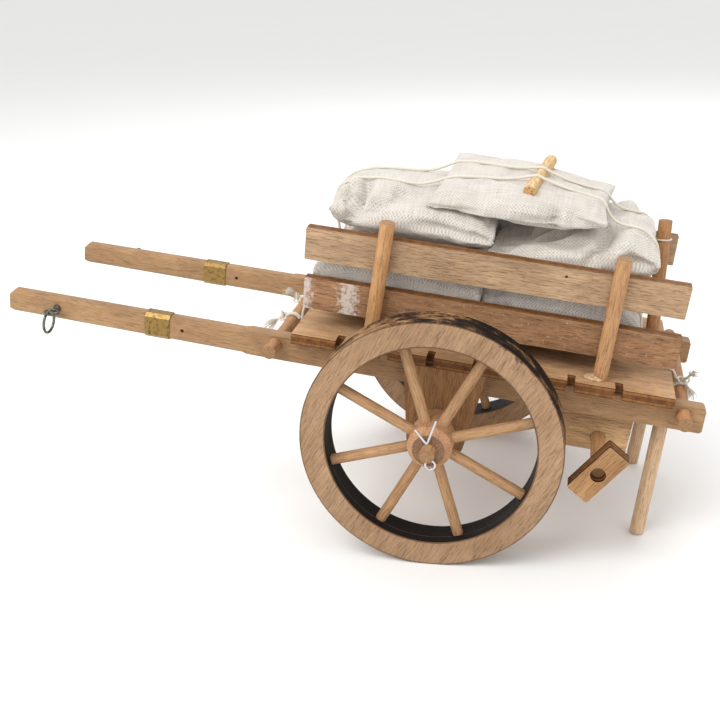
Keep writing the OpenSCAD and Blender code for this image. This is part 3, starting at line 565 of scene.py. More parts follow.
def clean_parts(node):
    """The node's separate solids as bmeshes, with doubled points merged and flat faces joined."""
    bm = bmesh.new()
    bm.from_mesh(NODES[node].data)
    bmesh.ops.remove_doubles(bm, verts=bm.verts[:], dist=2e-6)
    bmesh.ops.dissolve_limit(bm, angle_limit=math.radians(0.4), verts=bm.verts[:], edges=bm.edges[:])
    bm.verts.ensure_lookup_table()
    seen, groups = set(), []
    for start in bm.verts:
        if start.index in seen:
            continue
        stack, group = [start], []
        seen.add(start.index)
        while stack:
            v = stack.pop()
            group.append(v)
            for e in v.link_edges:
                o = e.other_vert(v)
                if o.index not in seen:
                    seen.add(o.index)
                    stack.append(o)
        groups.append({v.index for v in group})
    groups.sort(key=lambda g: tuple(round(c, 5) for c in sum((bm.verts[i].co for i in g), Vector()) / len(g)))
    parts = []
    for group in groups:
        part = bm.copy()
        part.verts.ensure_lookup_table()
        bmesh.ops.delete(part, geom=[v for v in part.verts if v.index not in group], context="VERTS")
        parts.append(part)
    bm.free()
    return parts


def own_frame(bm, grain=None, face=None):
    """The solid's own frame: x along its grain, z out of its largest face, at the middle of its box."""
    spread = Matrix(((0,) * 3,) * 3)
    for f in bm.faces:
        n, a = f.normal, f.calc_area()
        for i in range(3):
            for k in range(3):
                spread[i][k] += a * n[i] * n[k]

    def turned(m, start):
        """The direction that m stretches most."""
        v = Vector(start)
        for _ in range(60):
            v = (m @ v).normalized()
        return v

    total = sum(spread[i][i] for i in range(3))
    if grain is None:
        grain = turned(Matrix.Identity(3) * total - spread, (0.31, 0.52, 0.79))
    if face is None:
        face = turned(spread, (0.62, 0.41, 0.67))
    x = grain.normalized()
    z = (face - x * face.dot(x)).normalized()
    if z.dot(UP + OUT * 0.3) < 0:
        z = -z
    y = z.cross(x)
    place = Matrix((x, y, z)).transposed().to_4x4()
    place.translation = Vector()
    local = [place.inverted() @ v.co for v in bm.verts]
    middle = Vector([(max(p[i] for p in local) + min(p[i] for p in local)) / 2 for i in range(3)])
    place.translation = place @ middle
    return place


def rounded_copy(node, finish, slot, grain=None, face=None, rounding=None, centre=None):
    """Copies a CAD node's solids with sanded edges, each in its own frame, and lets them stand for the node."""
    size = (bpy.context.scene.cart_wood.edge_round if rounding is None else rounding) * MM
    parts = clean_parts(node)
    for number, bm in enumerate(parts):
        direction = grain(bm) if callable(grain) else grain
        place = own_frame(bm, direction, face)
        if centre is not None:
            place.translation = centre
        bmesh.ops.transform(bm, matrix=place.inverted(), verts=bm.verts[:])
        sharp = [e for e in bm.edges if e.is_manifold and e.calc_face_angle() > math.radians(32)]
        if size > 0:
            bmesh.ops.bevel(bm, geom=sharp, offset=size, segments=2, profile=0.55, affect="EDGES",
                            clamp_overlap=True)
        bm.normal_update()
        stuff = "metal" if slot in ("brass", "iron_wire", "steel_wire") else "wood"
        name = f"{node}_{stuff}" if len(parts) == 1 else f"{node}_{stuff}_{number + 1}"
        bm.verts.index_update()
        faces = [[v.index for v in f.verts] for f in bm.faces]
        piece = new_piece(name, [v.co for v in bm.verts], faces, finish, place)
        bm.free()
        piece.data.set_sharp_from_angle(angle=math.radians(38))
        weighted = piece.modifiers.new("even_shading", "WEIGHTED_NORMAL")
        weighted.keep_sharp = True
        settle(piece, NODES[node]["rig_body"], slot, node)


def walk(points, step):
    """The same route with its points a step apart, smoothed by a Catmull-Rom curve."""
    p = [points[0] * 2 - points[1], *points, points[-1] * 2 - points[-2]]
    fine = []
    for i in range(1, len(p) - 2):
        for k in range(12):
            t = k / 12
            a, b, c, d = p[i - 1 : i + 3]
            fine.append(0.5 * (2 * b + (c - a) * t + (2 * a - 5 * b + 4 * c - d) * t * t
                               + (3 * b - a - 3 * c + d) * t ** 3))
    fine.append(points[-1].copy())
    out, left = [fine[0].copy()], step
    for a, b in zip(fine, fine[1:]):
        length, done = (b - a).length, 0.0
        while length - done >= left:
            done += left
            out.append(a.lerp(b, done / length))
            left = step
        left -= length - done
    out.append(fine[-1].copy())
    return out


def frames_along(path):
    """Two vectors square to the path at each point, turning as little as they can."""
    u = None
    out = []
    for i in range(len(path)):
        t = (path[min(i + 1, len(path) - 1)] - path[max(i - 1, 0)]).normalized()
        if u is None:
            u = t.orthogonal()
        u = (u - t * u.dot(t)).normalized()
        out.append((u.copy(), t.cross(u)))
    return out


def skin(start, rings, sides):
    """The four-sided faces between rings of points, whose numbers run on from start."""
    out = []
    for i in range(rings):
        for k in range(sides):
            n = (k + 1) % sides
            a = start + i * sides
            out.append((a + k, a + n, a + sides + n, a + sides + k))
    return out


def tube(points, faces, path, radius, sides=8):
    """Adds a closed tube to the lists. radius is a number, or a function of the share of the length."""
    start, last = len(points), len(path) - 1
    for i, (p, (u, v)) in enumerate(zip(path, frames_along(path))):
        r = radius(i / last) if callable(radius) else radius
        for k in range(sides):
            a = 2 * math.pi * k / sides
            points.append(p + (u * math.cos(a) + v * math.sin(a)) * r)
    faces += skin(start, last, sides)
    faces.append([start + k for k in reversed(range(sides))])
    faces.append([start + last * sides + k for k in range(sides)])


def twisted(points, faces, path, width, pitch, strands=3, sides=7):
    """Adds the strands of a twisted cord of the given width along a path."""
    strand = width / (1 + 1 / math.sin(math.pi / strands)) * (1.14 if strands > 2 else 1.0)
    middle = width / 2 - strand
    frames = frames_along(path)
    run, lengths = 0.0, []
    for i, p in enumerate(path):
        if i:
            run += (p - path[i - 1]).length
        lengths.append(run)
    for s in range(strands):
        line = []
        for p, (u, v), length in zip(path, frames, lengths):
            a = 2 * math.pi * (length / pitch + s / strands)
            line.append(p + (u * math.cos(a) + v * math.sin(a)) * middle)
        tube(points, faces, line, strand, sides)


FIBRE_R = 0.12  # radius of a frayed fibre, mm: coarser than a real one, so that it shows


def tuft(points, faces, root, direction, length, spread, count, seed, droop):
    """Adds the loose fibres of a frayed cord end, in cart mm."""
    draw = random.Random(seed)
    direction = direction.normalized()
    side = direction.orthogonal().normalized()
    other = direction.cross(side)
    for _ in range(count):
        turn, lean = draw.uniform(0, 2 * math.pi), spread * math.sqrt(draw.random())
        way = (direction + (side * math.cos(turn) + other * math.sin(turn)) * lean).normalized()
        reach = length * draw.uniform(0.55, 1.0)
        curl = Vector((draw.uniform(-1, 1), draw.uniform(-1, 1), draw.uniform(-1, 1))) * reach * 0.22
        begin = root + (side * math.cos(turn) + other * math.sin(turn)) * 0.00022 * draw.random()
        line = []
        for k in range(7):
            t = k / 6
            sway = curl * math.sin(t * math.pi * 0.9) * t
            line.append(begin + way * reach * t + sway - UP * droop * reach * t * t)
        tube(points, faces, line, lambda t: FIBRE_R * (1.15 - 0.6 * t), 4)


# ---------------------------------------------------------------- sacks


CROWD = 0.86  # how far a sheet's points crowd towards its seams, from 0 to 1


def pillow(corner_points, top, bottom, pull, power, n):
    """Two sheets joined at their edges, in cart millimetres: points, faces, and each point's place on the cloth.
    top and bottom are heights in mm, as functions of u and v from -1 to 1."""
    near_front, near_rear, far_rear, far_front = [Vector(c) for c in corner_points]

    def middle(u, v):
        """A place on the sack's seam plane, whose sides pull in between the corners."""
        u2 = u * (1 - pull[0] * (1 - v * v) * abs(u) ** 2)
        v2 = v * (1 - pull[1] * (1 - u * u) * abs(v) ** 2)
        s, t = (u2 + 1) / 2, (v2 + 1) / 2
        return near_front.lerp(near_rear, s).lerp(far_front.lerp(far_rear, s), t)

    grid, points, faces, cloth = {}, [], [], []
    for sheet in (0, 1):
        for i in range(n + 1):
            for j in range(n + 1):
                # Points crowd a little towards the seams, where the cloth bends most.
                u, v = [math.sin(math.pi / 2 * (2 * k / n - 1) * CROWD) / math.sin(math.pi / 2 * CROWD)
                        for k in (i, j)]
                if sheet and (i in (0, n) or j in (0, n)):
                    grid[1, i, j] = grid[0, i, j]
                    continue
                plump = max(0.0, 1 - u * u) ** power[0] * max(0.0, 1 - v * v) ** power[1]
                lift = top(u, v) if sheet == 0 else -bottom(u, v)
                grid[sheet, i, j] = len(points)
                points.append(middle(u, v) + Vector((0, 0, lift * plump)))
                cloth.append((u, v, sheet))
        for i in range(n):
            for j in range(n):
                quad = [grid[sheet, i, j], grid[sheet, i + 1, j], grid[sheet, i + 1, j + 1], grid[sheet, i, j + 1]]
                faces.append(quad if sheet == 0 else quad[::-1])
    # Lengths along the threads, from the middle of each sheet, give the weave its place.
    half = n // 2
    for sheet in (0, 1):
        for i in range(n + 1):
            for j in range(n + 1):
                if sheet and (i in (0, n) or j in (0, n)):
                    continue
                x = sum((points[grid[sheet, k + 1, j]] - points[grid[sheet, k, j]]).length
                        for k in range(min(i, half), max(i, half)))
                y = sum((points[grid[sheet, i, k + 1]] - points[grid[sheet, i, k]]).length
                        for k in range(min(j, half), max(j, half)))
                cloth[grid[sheet, i, j]] = (x if i > half else -x, y if j > half else -y, sheet * 9)
    return points, faces, cloth


SIM = 10.0  # the sacks are simulated ten times as large, where Blender's cloth behaves
SIM_FRAMES = 16
SIM_PRESSURE = 2.2
SIM_GAP = 0.004  # kept between neighbours, at the simulation's size
SIM_REACH = 2.2  # no point of a sack moves further than this, mm


def obstacle(points, faces, name):
    """A rigid neighbour for the cloth, at the simulation's size. Points are in cart mm."""
    made = new_object(name, [p * MM * SIM for p in points], faces)
    made.modifiers.new("hit", "COLLISION")
    made.collision.thickness_outer = SIM_GAP
    made.collision.thickness_inner = 0.05
    made.collision.cloth_friction = 8
    return made


def simulate(points, faces, growth):
    """Blows the sack up softly among its neighbours. Returns its points in cart mm."""
    scene = bpy.context.scene
    bag = new_object("sim", [p * MM * SIM for p in points], faces)
    cloth = bag.modifiers.new("cloth", "CLOTH")
    s, c = cloth.settings, cloth.collision_settings
    s.quality = 6
    s.mass = 0.3
    s.tension_stiffness = s.compression_stiffness = 22
    s.shear_stiffness = 8
    s.bending_stiffness = 0.12
    s.air_damping = 2.0
    s.use_pressure = True
    s.uniform_pressure_force = SIM_PRESSURE
    s.shrink_min = -growth
    s.effector_weights.gravity = 0.0
    c.use_collision = True
    c.collision_quality = 3
    c.distance_min = SIM_GAP
    c.use_self_collision = False
    cloth.point_cache.frame_start = 1
    cloth.point_cache.frame_end = SIM_FRAMES + 2
    for frame_number in range(1, SIM_FRAMES + 1):
        scene.frame_set(frame_number)
    seen = bag.evaluated_get(bpy.context.evaluated_depsgraph_get())
    moved = [v.co / (MM * SIM) for v in seen.data.vertices]
    scene.frame_set(1)
    bpy.data.objects.remove(bag)
    out = []
    for before, after in zip(points, moved):
        step = after - before
        if step.length > SIM_REACH:
            step *= SIM_REACH / step.length
        out.append(before + step)
    return out


def cart_mesh(node):
    """A CAD node's points in cart mm, and its faces."""
    back = CART.inverted()
    mesh = NODES[node].data
    return [back @ v.co / MM for v in mesh.vertices], [tuple(p.vertices) for p in mesh.polygons]


FOLD_END = -6.0  # creases of the left side fade to nothing at this y, cart mm


def fold(points, faces, line, depth, width):
    """Presses a crease into the cloth's left side along a line of (x, z) points in cart mm; a negative depth raises
    a pleat."""
    line = [Vector(a) for a in line]
    out = []
    for p, n in zip(points, normals_of(points, faces)):
        q = Vector((p.x, p.z))
        near, share = 1e9, 0.0
        for i, (a, b) in enumerate(zip(line, line[1:])):
            ab = b - a
            t = max(0.0, min(1.0, (q - a).dot(ab) / ab.length_squared))
            far = (q - a.lerp(b, t)).length
            if far < near:
                near, share = far, (i + t) / (len(line) - 1)
        side = max(0.0, min(1.0, (FOLD_END - p.y) / 5)) * max(0.0, min(1.0, 0.4 - n.y * 1.5 + n.z))
        ends = math.sin(math.pi * (0.12 + 0.76 * share)) ** 0.7
        out.append(p - n * depth * ends * side * math.exp(-((near / width) ** 2)))
    return out


# Folds seen on the left side: (x, z) points, depth and width in mm.
FOLDS = {
    "sack_front": [
        ([(-31.0, 46.5), (-30.2, 42.4), (-31, 39), (-32.3, 34)], 4.0, 1.2),
        ([(-37.6, 39.4), (-35.6, 41.0), (-33.4, 40.0), (-31.6, 37.8)], 3.0, 0.8),
        ([(-35.4, 47), (-34.6, 43.6), (-35.4, 41.6)], -1.6, 1.8),
        ([(-31.3, 34.6), (-27, 38.5), (-20, 42), (-10, 44)], 2.4, 1.3),
        ([(-30, 32), (-22, 36.4), (-12, 39), (-4, 39.6)], -1.2, 2.0),
        ([(-14, 36.9), (-3.5, 36.2), (3.4, 35.4), (7.4, 35.0)], 2.4, 0.7),
    ],
    "sack_rear": [
        ([(33.0, 33.4), (35.0, 37.0), (37.5, 39.6), (40.8, 41.8)], 4.0, 1.4),
        ([(38.4, 33.8), (40.6, 37.4), (44, 40.2), (47.6, 40.4)], -1.8, 2.0),
        ([(40.6, 35.4), (43.5, 36.2), (45.8, 35.4), (49, 34.4)], 3.4, 0.8),
        ([(12, 34.9), (22, 37), (32, 36.4)], 1.6, 1.3),
    ],
    "sack_top": [
        ([(21.8, 36.5), (21.6, 41), (22.2, 45.4)], 4.4, 1.0),
        ([(25.0, 37.5), (24.8, 42), (24.8, 46)], -1.3, 1.6),
        ([(4, 38.4), (13, 40.2), (19, 41.6)], 2.0, 1.1),
        ([(-12, 41.6), (-5, 41.2), (3, 42.2)], 1.4, 0.9),
        ([(26, 45.4), (30, 43.0), (34, 42.2)], 1.8, 0.9),
    ],
}


def normals_of(points, faces):
    """Each point's outward direction, from the four-sided faces round it."""
    out = [Vector() for _ in points]
    for f in faces:
        n = (points[f[2]] - points[f[0]]).cross(points[f[3]] - points[f[1]])
        for i in f:
            out[i] += n
    return [n.normalized() for n in out]


# The sacks, from the lowest up: corners in cart mm (near front, near rear, far rear, far front), the height of the
# top and bottom sheets over them, how much the sides pull in, how squarely the edges fall away, how full it is,
# and the cloth's growth in the simulation.
SACKS = {
    "sack_lower_front": dict(
        corners=[(-40.6, -21.2, 14), (5.4, -21.2, 14), (5.4, 21.2, 14), (-40.6, 21.2, 14)],
        top=lambda u, v: 13.0, bottom=lambda u, v: 10.6, pull=(0.02, -0.03), power=(0.24, 0.24), fill=0.8,
        growth=0.05,
    ),
    "sack_lower_rear": dict(
        corners=[(3.4, -21.2, 14), (49.0, -21.2, 14), (49.0, 21.2, 14), (3.4, 21.2, 14)],
        top=lambda u, v: 11.0 - 2.0 * u, bottom=lambda u, v: 10.6, pull=(0.02, -0.03), power=(0.24, 0.24), fill=0.8,
        growth=0.05,
    ),
    "sack_front": dict(
        corners=[(-37.6, -20.8, 35.4), (6.8, -22.4, 33.8), (3.0, 20.5, 33), (-40.6, 19.5, 31.5)],
        top=lambda u, v: 9.6 + 2.2 * v + 1.4 * u + 1.0 * u * v, bottom=lambda u, v: 10.0, pull=(0.0, 0.0),
        power=(0.26, 0.5), fill=0.75, growth=0.06,
    ),
    "sack_rear": dict(
        corners=[(5.0, -22.3, 34.0), (49.2, -22.2, 34.8), (48.2, 20, 33), (6, 20, 33)],
        top=lambda u, v: 5.8 + 2.2 * u + 1.8 * v + 3.5 * v * (1 - u), bottom=lambda u, v: 9.0, pull=(0.0, -0.01),
        power=(0.26, 0.34), fill=0.7,
        growth=0.06,
    ),
    "sack_far": dict(
        corners=[(37.5, 9, 36.5), (46.6, 10.5, 37), (46.2, 21.5, 36.6), (38, 21.5, 36.6)],
        top=lambda u, v: 4.0, bottom=lambda u, v: 1.2, pull=(0.1, 0.1), power=(0.4, 0.4), fill=0.7, growth=0.03,
    ),
    "sack_top": dict(
        corners=[(-13.6, -22.0, 39.4), (34.6, -22.2, 41.4), (38.6, 13.6, 44.4), (-8.8, 14.0, 48.4)],
        top=lambda u, v: 4.2 - 1.2 * v, bottom=lambda u, v: 4.6 + 3.2 * v, pull=(0.05, -0.08), power=(0.3, 0.3),
        fill=0.75, growth=0.04,
    ),
}

_sacks = {}  # each finished sack's points in cart mm and its faces, for its neighbours and the lashing


def finish_sack(node, points, faces, cloth):
    """Makes the sack's linen piece, one step smoother than its points."""
    _sacks[node] = (points, faces)
    piece = in_cart(f"{node}_linen", points, faces, "linen")
    set_attribute(piece.data, "cloth", cloth)
    smooth = piece.modifiers.new("soft", "SUBSURF")
    smooth.levels = smooth.render_levels = 1
    settle(piece, "cart", "linen", node)


def crumple(points, faces, seed, amount):
    """Small dents of a loosely filled bag."""
    normals = normals_of(points, faces)
    out = []
    for p, n in zip(points, normals):
        q = Vector((p.x * 0.06, p.y * 0.09, p.z * 0.14)) + Vector((seed, seed * 1.7, 0))
        ridge = 1 - abs(noise.noise(q * 2.4)) * 2.6
        out.append(p + n * amount * (noise.noise(q) * 1.2 + ridge * 0.7 - 0.5))
    return out


# ---------------------------------------------------------------- lashing

NEAR_ROUTE = [
    (-42.8, -8, 34), (-42, -8, 40.5), (-38.5, -8, 44.3), (-34, -8, 45), (-24, -8, 45), (-14, -8, 45.2),
    (-9, -8, 46.2), (-2, -8.5, 47.4), (7, -9, 48.6), (12, -9, 50.3), (15.6, -9, 52), (19.5, -9, 50.5),
    (24, -9, 48.6), (30, -9.5, 47.2), (35, -10, 46), (38.5, -10, 44.8), (44, -11, 43), (47.5, -11, 42.4),
]
NEAR_START = [(-46, -8, -2.5), (-45.6, -8, 2), (-43.8, -8, 8), (-43, -8, 16), (-42.8, -8, 26)]
NEAR_END = [
    (49.8, -11, 40), (50.4, -11, 35), (50.4, -11, 26), (50.4, -11, 17), (51.4, -11, 9), (55, -11, 4.8),
    (59, -11, 3.7), (61.4, -11, 3.2), (62.8, -11, 1.2), (63.8, -11, 0.2),
]
FAR_START = [(-46, 9, -2.5), (-45.6, 9, 2), (-43.8, 8.6, 8), (-43, 8, 16), (-42.8, 7.5, 26)]
FAR_ROUTE = [
    (-42.8, 7, 34), (-42, 6.5, 40.5), (-38.5, 6, 44.3), (-34, 5.5, 45), (-24, 4.5, 45), (-14, 3.5, 45.6),
    (-9, 3, 47), (-2, 2, 48.1), (7, 0, 49.2), (12.5, -1, 51.2), (16.7, -1.5, 52.8), (20.5, -1.5, 51.4),
    (24, -1.2, 49.6), (30, -0.5, 48.6), (35, 0.5, 47.2), (38.5, 2, 45.6), (42, 5.5, 42.2), (47.4, 11, 37.6),
    (50.6, 14.2, 34.8),
]
FAR_END = [(53.4, 18, 32.2)]


def laid_over(route, trees, radius):
    """Lays a route on the load: each point drops towards the middle of the cart until it meets a surface, then the
    cord is pulled tight over the hollows. Points below 9 mm are tied to the bars and stay where they are."""
    points = walk([Vector(p) for p in route], 0.8)
    loose = [p.z > 9 for p in points]
    for i, p in enumerate(points):
        if not loose[i]:
            continue
        middle = Vector((max(-24, min(32, p.x)), p.y, min(26, p.z)))
        way = (middle - p).normalized()
        hits = [tree.ray_cast(p - way * 8, way, 22) for tree in trees]
        hits = [(hit[3], hit[0], hit[1]) for hit in hits if hit[0] is not None]
        if hits:
            _, where, normal = min(hits, key=lambda hit: hit[0])
            points[i] = where + normal * radius
    for _ in range(24):
        for i in range(1, len(points) - 1):
            if not loose[i]:
                continue
            m = (points[i - 1] + points[i + 1]) / 2
            p = Vector((m.x, points[i].y * 0.6 + m.y * 0.4, m.z))
            for tree in trees:
                where, normal, _, far = tree.find_nearest(p, 6.0)
                if where is not None and ((p - where).dot(normal) < 0 or far < radius):
                    p = where + normal * radius
            points[i] = p
    return points


def cotton_piece(node, points, faces):
    """A piece of cotton cord that stands for one CAD node."""
    settle(in_cart(f"{node}_cotton", points, faces, "cotton"), "cart", "cotton_cord", node)


def overhand(centre, size, turn):
    """A small overhand knot (a trefoil) in cart mm, turned by the given matrix."""
    out = []
    for k in range(49):
        t = 2 * math.pi * k / 48
        p = Vector((math.sin(t) + 2 * math.sin(2 * t), math.cos(t) - 2 * math.cos(2 * t), -1.5 * math.sin(3 * t)))
        out.append(Vector(centre) + turn @ (p * size))
    return out


# ---------------------------------------------------------------- operators


class BuildPiece:
    bl_options = {"REGISTER", "UNDO"}


class BUILD_OT_shafts(BuildPiece, bpy.types.Operator):
    """Builds the two shafts with their brass bands"""

    bl_idname = "handcart.shafts"
    bl_label = "Shafts and bands"

    def execute(self, context):
        for side in SIDES:
            rounded_copy(f"shaft_{side}", "shaft", "shaft_wood", grain=ALONG, face=OUT)
            rounded_copy(f"band_{side}", "brass", "brass", grain=UP, face=OUT, rounding=0.07)
        return {"FINISHED"}


class BUILD_OT_ironwork(BuildPiece, bpy.types.Operator):
    """Finishes the screw eyes, the rings and the split pins"""

    bl_idname = "handcart.ironwork"
    bl_label = "Eyes, rings and pins"

    def execute(self, context):
        for side in SIDES:
            rounded_copy(f"screw_eye_{side}", "iron", "iron_wire", grain=OUT, face=UP, rounding=0)
            rounded_copy(f"ring_{side}", "iron", "iron_wire", grain=OUT, face=ALONG, rounding=0)
            rounded_copy(f"split_pin_{side}", "steel", "steel_wire", grain=UP, face=OUT, rounding=0)
        return {"FINISHED"}


class BUILD_OT_deck(BuildPiece, bpy.types.Operator):
    """Builds the notched deck and the panels under it"""

    bl_idname = "handcart.deck"
    bl_label = "Deck and panels"

    def execute(self, context):
        rounded_copy("deck", "plywood", "plywood", grain=ALONG, face=UP)
        for side in SIDES:
            rounded_copy(f"axle_panel_{side}", "plywood", "plywood", grain=UP, face=OUT)
            rounded_copy(f"rear_panel_{side}", "plywood", "plywood", grain=ALONG, face=OUT)
        return {"FINISHED"}


class BUILD_OT_sides(BuildPiece, bpy.types.Operator):
    """Builds the side boards and the stakes that carry them"""

    bl_idname = "handcart.sides"
    bl_label = "Side boards and stakes"

    def execute(self, context):
        for side in SIDES:
            rounded_copy(f"lower_board_{side}", "scuffed" if side == "left" else "plywood", "plywood", grain=ALONG)
            rounded_copy(f"upper_board_{side}", "plywood", "plywood", grain=ALONG)
            rounded_copy(f"front_stake_{side}", "dowel", "dowel", rounding=0.3)
            rounded_copy(f"rear_stake_{side}", "dowel", "dowel", rounding=0.3)
        foot = Vector((39.9, -26.4, 3.02))  # of the left rear stake, cart mm
        sides, rings = 24, 6
        points, faces = [], []
        for ring in range(rings):
            rise = math.pi / 2 * ring / rings
            for k in range(sides):
                a = 2 * math.pi * k / sides
                reach = (3.2 + 0.8 * noise.noise(Vector((math.cos(a), math.sin(a), 3.0)) * 1.1)) * math.cos(rise)
                points.append(foot + Vector((reach * math.cos(a), 0.8 * reach * math.sin(a), 1.3 * math.sin(rise))))
        top, brim = rings * sides, (rings - 1) * sides
        points.append(foot + Vector((0, 0, 1.3)))
        faces += skin(0, rings - 1, sides)
        faces += [(brim + k, brim + (k + 1) % sides, top) for k in range(sides)]
        faces.append(list(reversed(range(sides))))
        settle(in_cart("glue_blob", points, faces, "glue"), "cart", None)
        rounded_copy("lashing_stake", "stained", "stained_wood", rounding=0.3)
        # The slat's wood is painted darker, as painted shade where the sacks shadow it; the stake above is stained.
        rounded_copy("lashing_slat", "slat", "stained_wood")
        return {"FINISHED"}


class BUILD_OT_bars(BuildPiece, bpy.types.Operator):
    """Builds the cross bars, the axle and the legs"""

    bl_idname = "handcart.bars"
    bl_label = "Cross bars, axle and legs"

    def execute(self, context):
        for node in ("front_cross_bar", "rear_cross_bar", "axle"):
            rounded_copy(node, "dowel", "dowel", grain=OUT, face=UP, rounding=0.3)
        for side in SIDES:
            rounded_copy(f"leg_{side}", "dowel", "dowel", rounding=0.3)
        return {"FINISHED"}


class BUILD_OT_brake(BuildPiece, bpy.types.Operator):
    """Builds the brake rod and its two blocks"""

    bl_idname = "handcart.brake"
    bl_label = "Brake"

    def execute(self, context):
        rounded_copy("brake_rod", "dowel", "dowel", grain=OUT, face=UP, rounding=0.3)
        for side in SIDES:
            rounded_copy(f"brake_block_{side}", "plywood", "plywood", face=OUT)
        return {"FINISHED"}


class BUILD_OT_wheels(BuildPiece, bpy.types.Operator):
    """Builds the rims of three layers, the spokes and the hubs"""

    bl_idname = "handcart.wheels"
    bl_label = "Wheels"

    def execute(self, context):
        for side in SIDES:
            for layer, rounding in (("face", 0.22), ("core", 0.05), ("back", 0.22)):
                low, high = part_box(f"wheel_{layer}_{side}")
                middle = AXLE + OUT * ((low.y + high.y) / 2)
                rounded_copy(f"wheel_{layer}_{side}", "rim", "plywood", grain=Vector((1, 0, 0)), face=OUT,
                             rounding=rounding, centre=middle)

            def radial(bm):
                """A spoke's grain points out from the axle."""
                low = Vector([min(v.co[i] for v in bm.verts) for i in range(3)])
                high = Vector([max(v.co[i] for v in bm.verts) for i in range(3)])
                way = (low + high) / 2 - AXLE
                way.y = 0
                return way

            rounded_copy(f"spokes_{side}", "dowel", "dowel", grain=radial, face=OUT, rounding=0.1)
            rounded_copy(f"hub_{side}", "hub", "hub_wood", grain=OUT, face=UP, rounding=0.22)
        return {"FINISHED"}


class BUILD_OT_sacks(BuildPiece, bpy.types.Operator):
    """Fills the cart with linen sacks, from the lowest to the top one"""

    bl_idname = "handcart.sacks"
    bl_label = "Sacks"

    def execute(self, context):
        rigid = []
        for node in ("deck", "lower_board_left", "lower_board_right", "upper_board_left", "upper_board_right"):
            rigid.append(obstacle(*cart_mesh(node), f"hit_{node}"))
        for number, (node, s) in enumerate(SACKS.items()):
            cells, dents = (20, 0.3) if node == "sack_far" else (56, 0.9)
            points, faces, cloth = pillow(s["corners"], s["top"], s["bottom"], s["pull"], s["power"], cells)
            points = crumple(points, faces, number * 3.7, dents)
            points = simulate(points, faces, s["growth"])
            rigid.append(obstacle(points, faces, f"hit_{node}"))
            for line, depth, width in FOLDS.get(node, ()):
                points = fold(points, faces, line, depth, width)
            finish_sack(node, points, faces, cloth)
        for made in rigid:
            bpy.data.objects.remove(made)
        return {"FINISHED"}


class BUILD_OT_cane(BuildPiece, bpy.types.Operator):
    """Lays the length of cane across the top sack"""

    bl_idname = "handcart.cane"
    bl_label = "Cane stick"

    def execute(self, context):
        bm = clean_parts("cane_stick")[0]
        place = own_frame(bm)
        local = [place.inverted() @ v.co for v in bm.verts]
        bm.free()
        low, high = min(p.x for p in local), max(p.x for p in local)
        radius = max(math.hypot(p.y, p.z) for p in local)
        sides, rings = 40, 60
        points, faces = [], []
        for i in range(rings + 1):
            x = low + (high - low) * i / rings
            bow = 0.25 * MM * math.sin(math.pi * i / rings)
            inner = 0.12 * MM if i in (0, rings) else 0.0
            for k in range(sides):
                a = 2 * math.pi * k / sides
                ripple = 1 + noise.noise(Vector((x * 160, math.cos(a) * 1.6, math.sin(a) * 1.6)))
                r = radius - inner - 0.07 * MM * ripple
                points.append(Vector((x, r * math.cos(a), r * math.sin(a) - bow * 0.4)))
        faces += skin(0, rings, sides)
        for start, way in ((0, -1), (rings * sides, 1)):
            ring = list(range(start, start + sides))
            for step, share in ((1, 0.94), (2, 0.6), (3, 0.25)):
                middle = len(points)
                for k in range(sides):
                    p = points[start + k]
                    q = Vector((p.x + way * 0.05 * MM * step, p.y * share, p.z * share))
                    points.append(q)
                for k in range(sides):
                    n = (k + 1) % sides
                    quad = (ring[k], ring[n], middle + n, middle + k)
                    faces.append(quad if way > 0 else quad[::-1])
                ring = list(range(middle, middle + sides))
            faces.append(ring if way > 0 else ring[::-1])
        piece = new_piece("cane_stick_cane", points, faces, "cane", place)
        settle(piece, "cart", "cane", "cane_stick")
        back = CART.inverted()
        _sacks["cane"] = ([back @ (place @ p) / MM for p in points], faces)
        return {"FINISHED"}


